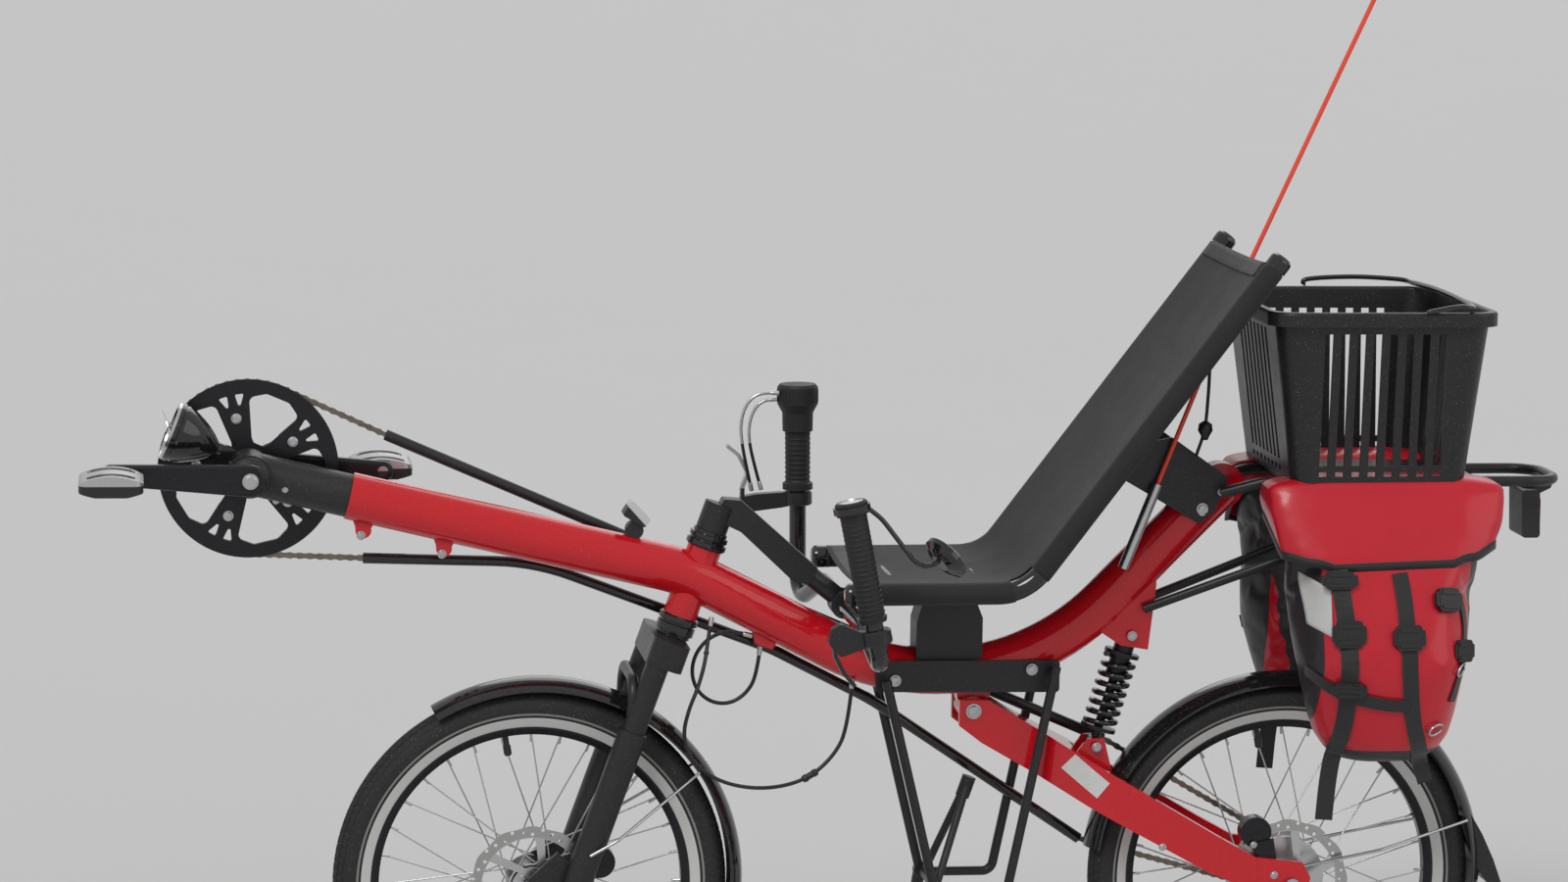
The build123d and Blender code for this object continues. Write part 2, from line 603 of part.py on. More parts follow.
# Basket: a tapering moulded shell with upright slots and a thick rim
BASKET_TOP = (905.0, 1199.0, 170.0)
BASKET_FOOT = (943.0, 1166.0, 145.0)
BASKET_Z = DECK_Z + SEAT_GAP
SLOT_COUNT = 8
SLOT_PITCH = 20.8
SLOT_W = 10.4
BASKET_SLOTS = ((BASKET_Z + 11, BASKET_Z + 17), (BASKET_Z + 25, BASKET_Z + 192))
with BuildPart() as basket:
    for inset, mode in ((0, Mode.ADD), (BASKET_WALL, Mode.SUBTRACT)):
        foot_plane = Plane(origin=(FRONT_AXLE_X + (BASKET_FOOT[0] + BASKET_FOOT[1]) / 2, 0, BASKET_Z + inset))
        top_plane = Plane(origin=(FRONT_AXLE_X + (BASKET_TOP[0] + BASKET_TOP[1]) / 2, 0, BASKET_Z + BASKET_H))
        with BuildSketch(foot_plane) as foot:
            RectangleRounded(BASKET_FOOT[1] - BASKET_FOOT[0] - 2 * inset, 2 * (BASKET_FOOT[2] - inset), 25)
        with BuildSketch(top_plane) as top:
            RectangleRounded(BASKET_TOP[1] - BASKET_TOP[0] - 2 * inset - 16, 2 * (BASKET_TOP[2] - inset) - 16, 30)
        loft([foot.sketch, top.sketch], mode=mode)
    with BuildSketch(top_plane.offset(-18)) as rim:
        RectangleRounded(BASKET_TOP[1] - BASKET_TOP[0], 2 * BASKET_TOP[2], 34)
        RectangleRounded(BASKET_TOP[1] - BASKET_TOP[0] - 22, 2 * BASKET_TOP[2] - 22, 27, mode=Mode.SUBTRACT)
    extrude(rim.sketch, amount=18)
    fillet(basket.faces().sort_by(Axis.Z)[-1].edges(), 4)
    slot_middle = FRONT_AXLE_X + (BASKET_TOP[0] + BASKET_TOP[1]) / 2
    for wall_plane, middle in ((Plane.XZ, slot_middle), (Plane.YZ, 0.0)):
        with BuildSketch(wall_plane) as slots:
            for slot_foot, slot_head in BASKET_SLOTS:
                with Locations((middle, (slot_foot + slot_head) / 2)):
                    with GridLocations(SLOT_PITCH, 1, SLOT_COUNT, 1):
                        Rectangle(SLOT_W, slot_head - slot_foot)
        extrude(slots.sketch, amount=REAR_REACH, both=True, mode=Mode.SUBTRACT)
basket.part.label = "basket"
export_step(basket.part, "parts/basket.step")

# Panniers: one on each side of the rack
# height, front x, rear x, outer y
BAG_SECTIONS = (
    (424.0, 985.0, 1150.0, 205.0),
    (560.0, 950.0, 1168.0, BAG_OUT_Y),
    (BASKET_Z - 3, 915.0, 1216.0, 150.0),
)
for bag_name, bag_side in (("left_pannier", -1), ("right_pannier", 1)):
    with BuildPart() as pannier:
        bag_rings = []
        for height, front_x, rear_x, out_y in BAG_SECTIONS:
            middle = spot((front_x + rear_x) / 2, bag_side * (BAG_IN_Y + out_y) / 2, height)
            with BuildSketch(Plane(origin=middle)) as ring:
                RectangleRounded(rear_x - front_x, out_y - BAG_IN_Y, 24)
            bag_rings.append(ring.sketch)
        loft(bag_rings, ruled=True)
    pannier.part.label = bag_name
    export_step(pannier.part, f"parts/{bag_name}.step")

# Tail light on the rack's end
with BuildPart() as tail_light:
    plate([(1270, 752), (1294, 752), (1296, 690), (1272, 690)], 0, 60, round_r=5)
    tongue_z = DECK_Z - RACK_TUBE_D - SEAT_GAP
    plate([(1278, 740), (1278, 754), (1302, tongue_z), (1317, tongue_z), (1313, 752), (1292, 742)], 0, 24)
tail_light.part.label = "tail_light"
export_step(tail_light.part, "parts/tail_light.step")

# Safety flag: a channel socket beside the main tube, the pole and its pennant
SOCKET_D = 14.0
FLAG_Y = -(BRACKET_Y + BRACKET_T / 2 + SEAT_GAP + SOCKET_D / 2)
FLAG_FOOT = (750.0, 659.0)
FLAG_MIDDLE = (886.0, 1010.0)
FLAG_TIP = (1180.0, 1660.0)
POLE_D = 6.0
SOCKET_L = 112.0
FLAG_LEAN = atan((FLAG_MIDDLE[0] - FLAG_FOOT[0]) / (FLAG_MIDDLE[1] - FLAG_FOOT[1]))


def along_pole(distance):
    """A point on the flag pole's lower straight, at a distance from its foot."""
    return spot(FLAG_FOOT[0] + distance * sin(FLAG_LEAN), FLAG_Y, FLAG_FOOT[1] + distance * cos(FLAG_LEAN))


with BuildPart() as flag_socket:
    rod([along_pole(-4), along_pole(SOCKET_L)], SOCKET_D)
    rod([along_pole(0), along_pole(SOCKET_L + 10)], POLE_D + 2 * RUN, mode=Mode.SUBTRACT)
flag_socket.part.label = "flag_socket"
export_step(flag_socket.part, "parts/flag_socket.step")

with BuildPart() as flag_pole:
    rod([along_pole(0), spot(FLAG_MIDDLE[0], FLAG_Y, FLAG_MIDDLE[1]), spot(FLAG_TIP[0], FLAG_Y, FLAG_TIP[1])],
        POLE_D, bend=900)
flag_pole.part.label = "flag_pole"
export_step(flag_pole.part, "parts/flag_pole.step")


# Pennant: a cloth triangle that hangs from the pole's tip
PENNANT_L = 190.0
PENNANT_H = 140.0
PENNANT_T = 3.0
pole_lean = atan((FLAG_TIP[0] - FLAG_MIDDLE[0]) / (FLAG_TIP[1] - FLAG_MIDDLE[1]))
with BuildPart() as flag:
    hoist = []
    for down in (12.0, 12.0 + PENNANT_H):
        edge_x = FLAG_TIP[0] - down * sin(pole_lean) + (POLE_D / 2 + SEAT_GAP) / cos(pole_lean)
        hoist.append((edge_x, FLAG_TIP[1] - down * cos(pole_lean)))
    (top_x, top_z), (low_x, low_z) = hoist
    plate([(top_x, top_z), (low_x, low_z), (low_x + PENNANT_L, (top_z + low_z) / 2)], FLAG_Y, PENNANT_T)
flag.part.label = "flag"
export_step(flag.part, "parts/flag.step")


def mudguard_arc(centre_x, centre_z, start_deg, end_deg):
    """A curved mudguard shell: an arched section turned about an axis across the bicycle."""
    axis = Axis(spot(centre_x, 0, centre_z), (0, -1, 0))
    start = radians(start_deg)
    section_plane = Plane(
        origin=spot(centre_x, 0, centre_z), x_dir=(cos(start), 0, sin(start)),
        z_dir=(sin(start), 0, -cos(start)),
    )
    with BuildSketch(section_plane) as section:
        with BuildLine():
            edge_r = MUD_R - MUD_DEPTH
            ThreePointArc((edge_r, -MUD_W / 2), (MUD_R, 0), (edge_r, MUD_W / 2))
            Line((edge_r, MUD_W / 2), (edge_r - MUD_T, MUD_W / 2))
            ThreePointArc((edge_r - MUD_T, MUD_W / 2), (MUD_R - MUD_T, 0), (edge_r - MUD_T, -MUD_W / 2))
            Line((edge_r - MUD_T, -MUD_W / 2), (edge_r, -MUD_W / 2))
        make_face()
    revolve(section.sketch, axis=axis, revolution_arc=end_deg - start_deg)


for guard_name, guard_x, guard_z, start_deg, end_deg in (
    ("front_mudguard", *FRONT_GUARD, -4.0, 121.0),
    ("rear_mudguard", *REAR_GUARD, -10.0, 172.0),
):
    with BuildPart() as guard:
        mudguard_arc(guard_x, guard_z, start_deg, end_deg)
    guard.part.label = guard_name
    export_step(guard.part, f"parts/{guard_name}.step")

# Mudguard stays: a bent wire on each side, from the fork leg or the dropout to the guard's edge
# name, guard centre x and z, direction of the guard's end in degrees, then (x, y, z) of the foot and the bend
STAY_D = 4.0
FORK_STAY_Y = LEG_Y + LOWER_LEG_D / 2 + STAY_D / 2 + SEAT_GAP
DROPOUT_STAY_Y = REAR_HUB_W / 2 - STAY_D / 2 - SEAT_GAP
fork_eyelet_x, fork_eyelet_z = head_point(296, LEG_OFFSET)
STAYS = (
    ("front_mudguard_stays", FRONT_GUARD, 34.9,
     (fork_eyelet_x, FORK_STAY_Y, fork_eyelet_z), (104, FORK_STAY_Y - 3, 320)),
    ("rear_mudguard_stays", REAR_GUARD, 16.1,
     (REAR_X + 10, DROPOUT_STAY_Y, 269), (REAR_X + 120, DROPOUT_STAY_Y - 3, 290)),
)
for stay_name, (guard_x, guard_z), direction, foot, elbow in STAYS:
    edge_r = MUD_R - MUD_DEPTH - MUD_T / 2
    end_x = guard_x + edge_r * cos(radians(direction))
    end_z = guard_z + edge_r * sin(radians(direction))
    with BuildPart() as stays:
        for stay_side in (-1, 1):
            rod(
                [spot(foot[0], stay_side * foot[1], foot[2]), spot(elbow[0], stay_side * elbow[1], elbow[2]),
                 spot(end_x, stay_side * (MUD_W / 2 + STAY_D / 2 + SEAT_GAP), end_z)],
                STAY_D, bend=25,
            )
    stays.part.label = stay_name
    export_step(stays.part, f"parts/{stay_name}.step")

# Carrier hoops under the seat, with the stand's bearing rings at their lower front corners
with BuildPart() as carrier_hoops:
    for hoop_side in (-1, 1):
        rod(
            [spot(HOOP_TOPS[0][0] - 2, hoop_side * HOOP_Y, HOOP_TOPS[0][1] + 9),
             spot(STAND_X, hoop_side * HOOP_Y, STAND_Z), spot(604, hoop_side * HOOP_Y, STAND_Z),
             spot(HOOP_TOPS[1][0] + 2, hoop_side * HOOP_Y, HOOP_TOPS[1][1] + 9)],
            HOOP_TUBE_D, bend=(14, 14),
        )
        spacer_in = PLATE_Y + PLATE_T / 2
        for top_x, top_z in HOOP_TOPS:
            boss(top_x, top_z, hoop_side * (spacer_in + HOOP_Y) / 2, 10, HOOP_Y - spacer_in)
        boss(STAND_X + 3, STAND_Z + 2, hoop_side * HOOP_Y, 24, 12)
    boss(STAND_X + 3, STAND_Z + 2, 0, HOOP_TUBE_D + 2 * RUN, 200, mode=Mode.SUBTRACT)
carrier_hoops.part.label = "carrier_hoops"
export_step(carrier_hoops.part, "parts/carrier_hoops.step")

# Stand: a cross axle in the hoops' rings, two legs to the floor and the V-shaped lever that lifts it
with BuildPart() as stand:
    axle_x, axle_z = STAND_X + 3, STAND_Z + 2
    rod([spot(axle_x, -STAND_LEG_Y, axle_z), spot(axle_x, STAND_LEG_Y, axle_z)], HOOP_TUBE_D)
    for leg_side in (-1, 1):
        rod([spot(axle_x, leg_side * STAND_LEG_Y, axle_z), spot(STAND_FOOT_X, leg_side * STAND_FOOT_Y, 8)], 16)
        with BuildSketch(Plane(origin=spot(STAND_FOOT_X, leg_side * STAND_FOOT_Y, 0))) as shoe:
            RectangleRounded(40, 30, 8)
        extrude(shoe.sketch, amount=14)
        rod([spot(axle_x, leg_side * 48, axle_z), spot(558, leg_side * 5, 366)], 10)
    rod([spot(554, 0, 354), spot(563, 0, 380)], 18)
stand.part.label = "stand"
export_step(stand.part, "parts/stand.step")

# Fork: steerer, crown, two legs with dropouts and the brace over the wheel
with BuildPart() as fork:
    with BuildSketch(head_plane(CROWN_Z)) as steerer:
        Circle(STEERER_D / 2)
    extrude(steerer.sketch, amount=175)
    with BuildSketch(head_plane(CROWN_Z - CROWN_DROP, LEG_OFFSET / 2)) as crown:
        RectangleRounded(48, 2 * LEG_Y + 34, 16)
    extrude(crown.sketch, amount=CROWN_H)
    for leg_side in (-1, 1):
        upper_x, upper_z = head_point(CROWN_Z + 8, LEG_OFFSET)
        step_x, step_z = head_point(450, LEG_OFFSET)
        foot_x, foot_z = head_point(248, LEG_OFFSET)
        rod([spot(upper_x, leg_side * LEG_Y, upper_z), spot(step_x, leg_side * LEG_Y, step_z)], UPPER_LEG_D)
        rod([spot(step_x, leg_side * LEG_Y, step_z), spot(foot_x, leg_side * LEG_Y, foot_z)], LOWER_LEG_D)
        plate([(-14, 246), (-6, 266), (30, 300), (60, 270), (50, 238), (4, 236)], leg_side * 54, 8)
    brace_x, brace_z = head_point(440, LEG_OFFSET)
    rod(
        [spot(brace_x, -LEG_Y, brace_z), spot(brace_x + 4, -LEG_Y, 520), spot(brace_x + 4, LEG_Y, 520),
         spot(brace_x, LEG_Y, brace_z)],
        14, bend=(25, 25),
    )
    boss(0, WHEEL_R, 0, AXLE_D + 2 * RUN, 160, mode=Mode.SUBTRACT)
fork.part.label = "fork"
export_step(fork.part, "parts/fork.step")

# Axles, each with a nut outside its dropout
for axle_name, axle_x, reach in (("front_axle", 0.0, 58.0), ("rear_axle", REAR_X, REAR_HUB_W / 2 + 8)):
    with BuildPart() as axle:
        boss(axle_x, WHEEL_R, 0, AXLE_D, 2 * reach + 4)
        for nut_side in (-1, 1):
            boss(axle_x, WHEEL_R, nut_side * (reach + 5 + SEAT_GAP), 18, 10)
    axle.part.label = axle_name
    export_step(axle.part, f"parts/{axle_name}.step")

# Stem: a forged arm from the steerer, a straight tube and the clamp round the bar
with BuildPart() as stem:
    with BuildSketch(head_plane(STEM_TOP)) as collar:
        Circle(20)
    extrude(collar.sketch, amount=36)
    plate([(228, 716), (240, 742), (262, 740), (362, 652), (350, 632), (330, 636), (262, 700)], 0, 28, round_r=4)
    rod([spot(345, 0, 648), spot(BAR_X - 4, 0, BAR_Z + 6)], 25)
    boss(BAR_X, BAR_Z, 0, BAR_D + 12, 40)
    boss(BAR_X, BAR_Z, 0, BAR_D + 2 * RUN, 60, mode=Mode.SUBTRACT)
    with BuildSketch(head_plane(STEM_TOP - 2)) as steerer_room:
        Circle(STEERER_D / 2 + RUN)
    extrude(steerer_room.sketch, amount=30, mode=Mode.SUBTRACT)
stem.part.label = "stem"
export_step(stem.part, "parts/stem.step")

# Handlebar: a cross bar over the main tube, with an upright at each end. The right one stands higher.
# Each grip's line: foot x, z and head x, z
LEFT_GRIP = ((392.0, 630.0), (362.0, 775.0))
RIGHT_GRIP = ((374.0, 712.0), (372.0, 846.0))
BAR_DROP = 44.0


def upright_corner(grip, y):
    """Where a grip's line meets the cross bar's dropped end."""
    (foot_x, foot_z), (top_x, top_z) = grip
    corner_z = BAR_Z - BAR_DROP
    return spot(foot_x + (top_x - foot_x) * (corner_z - foot_z) / (top_z - foot_z), y, corner_z)


with BuildPart() as handlebar:
    rod(
        [spot(LEFT_GRIP[1][0], -GRIP_Y, LEFT_GRIP[1][1]), upright_corner(LEFT_GRIP, -GRIP_Y),
         spot(BAR_X, -180, BAR_Z), spot(BAR_X, 180, BAR_Z),
         upright_corner(RIGHT_GRIP, GRIP_Y), spot(RIGHT_GRIP[1][0], GRIP_Y, RIGHT_GRIP[1][1])],
        BAR_D, bend=(26, 45, 45, 26),
    )
handlebar.part.label = "handlebar"
export_step(handlebar.part, "parts/handlebar.step")

# Grips: the left one ends in the mirror's clamp cap, the right one in the shifter's collar.
# name, side, line, then the profile as (share of the grip's length, distance past it, radius)
LEFT_PROFILE = (
    (0, 0, 16.5), (0, 6, 18), (0, 8, 15.5), (1, -14, 16.5), (1, -13, 20), (1, 1, 20), (1, 3, 18),
    (1, 3, 14), (1, 1, 13),
)
RIGHT_PROFILE = (
    (0, 0, 20), (0, 8, 20), (0, 10, 17), (0, 13, 16), (1, -58, 16.5), (1, -56, 20), (1, -32, 20.5),
    (1, -20, 27), (1, 2, 27), (1, 6, 24),
)
for grip_name, grip_side, (foot, top), profile in (
    ("left_grip", -1, LEFT_GRIP, LEFT_PROFILE),
    ("right_grip", 1, RIGHT_GRIP, RIGHT_PROFILE),
):
    grip_l = hypot(top[0] - foot[0], top[1] - foot[1])
    with BuildPart() as grip:
        grip_foot = spot(foot[0], grip_side * GRIP_Y, foot[1])
        grip_way = spot(top[0], grip_side * GRIP_Y, top[1]) - grip_foot
        turned(grip_foot, grip_way, [(share * grip_l + past, radius) for share, past, radius in profile])
        grip_end = grip_foot + grip_way * (1 + RUN / grip_l)
        rod([grip_foot - grip_way, grip_end], BAR_D + 2 * RUN, mode=Mode.SUBTRACT)
    grip.part.label = grip_name
    export_step(grip.part, f"parts/{grip_name}.step")

# Brake levers: a ring round the upright, a body in front of it and a blade
LEVER_T = 16.0
BLADE_W = 14.0
BLADE_T = 5.0
# name, side, ring x and z, then body corners, blade route, blade ends at the body
LEVERS = (
    ("left_brake_lever", -1, LEFT_GRIP, 611.5,
     [(396, 618), (374, 619), (352, 629), (340, 622), (337, 604), (352, 588), (396, 604)],
     [(346, 614), (345, 590), (356, 568), (370, 552)]),
    ("right_brake_lever", 1, RIGHT_GRIP, 700.0,
     [(372, 708), (350, 708), (318, 706), (298, 702), (292, 692), (306, 682), (352, 688), (372, 692)],
     [(300, 694), (300, 716), (307, 733), (294, 758), (279, 770)]),
)
RING_H = 18.0
for lever_name, lever_side, ((foot_x, foot_z), (head_x, head_z)), ring_z, corners, blade_route in LEVERS:
    lever_y = lever_side * GRIP_Y
    upright_way = Vector(head_x - foot_x, 0, head_z - foot_z).normalized()
    ring_middle = spot(foot_x + (ring_z - foot_z) * upright_way.X / upright_way.Z, lever_y, ring_z)
    with BuildPart() as lever:
        plate(corners, lever_y, LEVER_T, round_r=5)
        ring_r = BAR_D / 2 + 8
        turned(
            ring_middle - upright_way * RING_H / 2, upright_way,
            [(0, ring_r - 2), (2, ring_r), (RING_H - 2, ring_r), (RING_H, ring_r - 2)],
        )
        with BuildSketch(side(lever_y)) as blade:
            with BuildLine() as blade_line:
                FilletPolyline(*blade_route, radius=9)
            trace(blade_line.line, line_width=BLADE_T)
        extrude(blade.sketch, amount=BLADE_W / 2, both=True)
        rod(
            [ring_middle - upright_way * 3 * RING_H, ring_middle + upright_way * 3 * RING_H],
            BAR_D + 2 * RUN, mode=Mode.SUBTRACT,
        )
    lever.part.label = lever_name
    export_step(lever.part, f"parts/{lever_name}.step")

# Mirror: a bent stalk from the left grip's cap to a round glass that faces the rider
MIRROR_R = 30.0
STALK_D = 6.0
MIRROR_WAY = Vector(0.70, 0.33, 0.63).normalized()
GRIP_CAP_R = 20.0
mirror_centre = spot(479, -GRIP_Y + 2, 708)
cap_middle = spot(LEFT_GRIP[1][0], -GRIP_Y, LEFT_GRIP[1][1])
cap_way = (cap_middle - spot(LEFT_GRIP[0][0], -GRIP_Y, LEFT_GRIP[0][1])).normalized()
with BuildPart() as mirror:
    turned(cap_middle - cap_way * 10, cap_way, [(0, GRIP_CAP_R + 3), (8, GRIP_CAP_R + 3)])
    cable(
        [cap_middle - cap_way * 6 + Vector(GRIP_CAP_R + 1, 0, 0), spot(400, -GRIP_Y, 757),
         spot(441, -GRIP_Y, 704), spot(455, -GRIP_Y, 697), mirror_centre - MIRROR_WAY * 4],
        STALK_D,
    )
    rod([cap_middle - cap_way * 40, cap_middle + cap_way * 20], 2 * (GRIP_CAP_R + SEAT_GAP), mode=Mode.SUBTRACT)
    turned(
        mirror_centre - MIRROR_WAY * 10, MIRROR_WAY,
        [(0, 12), (3, 22), (8, MIRROR_R), (14, MIRROR_R), (15, MIRROR_R - 2)],
    )
mirror.part.label = "mirror"
export_step(mirror.part, "parts/mirror.step")

# Cables held by the frame: two loops behind the fork, below the stop lug
CABLE_D = 5.0
LOOP_Y = -4.0
SHORT_LOOP = (
    (279.6, 565.5), (252, 573), (226, 565), (208, 545), (202, 520), (209, 496), (228, 480),
    (252, 478), (273, 491),
    (286, 514), (290, 552.2),
)
LONG_LOOP = (
    (226, -17, 592), (221, -24, 566), (216, -38, 538), (206, -51, 508), (193, -59, 480),
    (186, -61, 448), (198, -61, 414),
    (236, -55, 386), (292, -42, 374), (346, -36, 384), (382, -30, 413), (401, -24, 448), (407, -18, 511),
)
with BuildPart() as frame_cables:
    cable([spot(x, LOOP_Y, z) for x, z in SHORT_LOOP], CABLE_D)
    cable([spot(*point) for point in LONG_LOOP], CABLE_D)
    barrel_start, barrel_end = spot(*LONG_LOOP[9]), spot(*LONG_LOOP[10])
    rod([barrel_start * 0.7 + barrel_end * 0.3, barrel_start * 0.3 + barrel_end * 0.7], 2.4 * CABLE_D)
frame_cables.part.label = "frame_cables"
export_step(frame_cables.part, "parts/frame_cables.step")

# Cables on the steering: the shifter's two curved pipes and their housings, as (x, y from the grip, z)
PIPES = (
    ((346.2, -11, 841), (322, -11, 843), (303, -11, 829), (295, -11, 803), (297, -11, 776),
     (305, -11, 738), (312, -6, 710.4)),
    ((344.4, -4, 832), (328, -4, 832), (314, -4, 820), (307, -4, 798), (308, -4, 774),
     (317, -4, 738), (325, -3, 711.2)),
)
with BuildPart() as steering_cables:
    for pipe in PIPES:
        cable([spot(x, GRIP_Y + y, z) for x, y, z in pipe], CABLE_D - 0.5)
steering_cables.part.label = "steering_cables"
export_step(steering_cables.part, "parts/steering_cables.step")

# Wheels
# name, axle x, hub shell diameter, flange diameter, flange y left and right, disc y
WHEELS = (
    ("front", 0.0, 36.0, 58.0, -26.0, 32.0, FRONT_DISC_Y),
    ("rear", REAR_X, 88.0, 106.0, -30.0, 30.0, REAR_DISC_Y),
)
FLANGE_T = 4.0
for end, axle_x, shell_d, flange_d, left_y, right_y, disc_y in WHEELS:
    with BuildPart() as tyre:
        wheel_cut = Plane(origin=spot(axle_x, 0, WHEEL_R), x_dir=(0, 1, 0), z_dir=(-1, 0, 0))
        with BuildSketch(wheel_cut) as tyre_section:
            with Locations((0, WHEEL_R - TYRE_W / 2)):
                Circle(TYRE_W / 2)
            with Locations((0, RIM_INNER_R + 9)):
                Rectangle(RIM_W + 2 * SEAT_GAP, 24, mode=Mode.SUBTRACT)
            with Locations((0, 180)):
                Rectangle(100, 46, mode=Mode.SUBTRACT)
        revolve(tyre_section.sketch, axis=Axis(spot(axle_x, 0, WHEEL_R), (0, 1, 0)))
    tyre.part.label = f"{end}_tyre"
    export_step(tyre.part, f"parts/{end}_tyre.step")

    with BuildPart() as rim:
        with BuildSketch(wheel_cut) as rim_section:
            with BuildLine():
                Polyline(
                    (-RIM_W / 2, 212.5), (-RIM_W / 2, 200), (-8, RIM_INNER_R), (8, RIM_INNER_R),
                    (RIM_W / 2, 200), (RIM_W / 2, 212.5), (RIM_W / 2 - 2, 212.5), (RIM_W / 2 - 2, 203),
                    (-RIM_W / 2 + 2, 203), (-RIM_W / 2 + 2, 212.5), close=True,
                )
            make_face()
        revolve(rim_section.sketch, axis=Axis(spot(axle_x, 0, WHEEL_R), (0, 1, 0)))
    rim.part.label = f"{end}_rim"
    export_step(rim.part, f"parts/{end}_rim.step")

    with BuildPart() as hub:
        boss(axle_x, WHEEL_R, (left_y + right_y) / 2, shell_d, right_y - left_y)
        for flange_y in (left_y, right_y):
            boss(axle_x, WHEEL_R, flange_y, flange_d, FLANGE_T)
        boss(axle_x, WHEEL_R, disc_y / 2 - 0.5, 44, abs(disc_y) - 1 - DISC_T)
        if end == "rear":
            boss(axle_x, WHEEL_R, 42, 40, 20)
            with BuildSketch(side(CHAIN_Y)) as sprocket:
                sprocket_face(axle_x, WHEEL_R, SPROCKET_TEETH)
            extrude(sprocket.sketch, amount=RING_T / 2, both=True)
            hub_reach = REAR_HUB_W / 2 - 1
        else:
            hub_reach = FRONT_HUB_W / 2 - 1
        boss(axle_x, WHEEL_R, 0, 20, 2 * hub_reach)
        boss(axle_x, WHEEL_R, 0, AXLE_D + 2 * RUN, 200, mode=Mode.SUBTRACT)
    hub.part.label = f"{end}_hub"
    export_step(hub.part, f"parts/{end}_hub.step")

    with BuildPart() as spokes:
        for flange_y, phase in ((left_y, 0.0), (right_y, 0.5)):
            for spoke in range(SPOKES // 2):
                turn = 2 * pi * (spoke + phase) / (SPOKES // 2)
                sweep_angle = radians(58 if end == "front" else 30) * (1 if spoke % 2 else -1)
                foot_r = flange_d / 2 + SPOKE_D / 2
                foot_y = flange_y + (1.5 if spoke % 2 else -1.5)
                tip_y = (2.5 if flange_y > 0 else -2.5) + (1.3 if spoke % 2 else -1.3)
                foot_turn = turn + sweep_angle
                foot = spot(axle_x + foot_r * cos(foot_turn), foot_y, WHEEL_R + foot_r * sin(foot_turn))
                tip_r = RIM_INNER_R - 0.4
                tip = spot(axle_x + tip_r * cos(turn), tip_y, WHEEL_R + tip_r * sin(turn))
                rod([foot, tip], SPOKE_D)
    spokes.part.label = f"{end}_spokes"
    export_step(spokes.part, f"parts/{end}_spokes.step")

    with BuildPart() as disc:
        with BuildSketch(side(disc_y)) as disc_face:
            with Locations((axle_x, WHEEL_R)):
                Circle(DISC_D / 2)
                Circle(DISC_D / 2 - 16, mode=Mode.SUBTRACT)
                Circle(22)
                with PolarLocations(0, 6):
                    with Locations(Location((42, 4, 0), 25)):
                        Rectangle(50, 8)
                Circle(14, mode=Mode.SUBTRACT)
        extrude(disc_face.sketch, amount=DISC_T / 2, both=True)
    disc.part.label = f"{end}_disc"
    export_step(disc.part, f"parts/{end}_disc.step")

# Brake calipers: a body that straddles the disc, seated on the fork leg or on a foot beside the dropout
# name, axle x, x, z, disc y, outer y, inner y
CALIPERS = (
    ("front_caliper", 0.0, 84.0, 284.0, FRONT_DISC_Y, -(LEG_Y - LOWER_LEG_D / 2 - SEAT_GAP), FRONT_DISC_Y + 9),
    ("rear_caliper", REAR_X, REAR_X - 44, 315.0, REAR_DISC_Y, REAR_DISC_Y - 11, REAR_DISC_Y + 10),
)
for caliper_name, axle_x, caliper_x, caliper_z, disc_y, outer_y, inner_y in CALIPERS:
    with BuildPart() as caliper:
        boss(caliper_x, caliper_z, (outer_y + inner_y) / 2, 40, inner_y - outer_y)
        boss(axle_x, WHEEL_R, disc_y, DISC_D + 6, DISC_T + 2, mode=Mode.SUBTRACT)
        if caliper_name == "rear_caliper":
            foot_out = REAR_HUB_W / 2 - SEAT_GAP
            foot_in = -outer_y - 0.5
            plate(
                [(axle_x - 52, 300), (axle_x - 36, 278), (axle_x - 36, 262), (axle_x - 14, 262),
                 (axle_x - 22, 308)],
                -(foot_out + foot_in) / 2, foot_out - foot_in,
            )
    caliper.part.label = caliper_name
    export_step(caliper.part, f"parts/{caliper_name}.step")

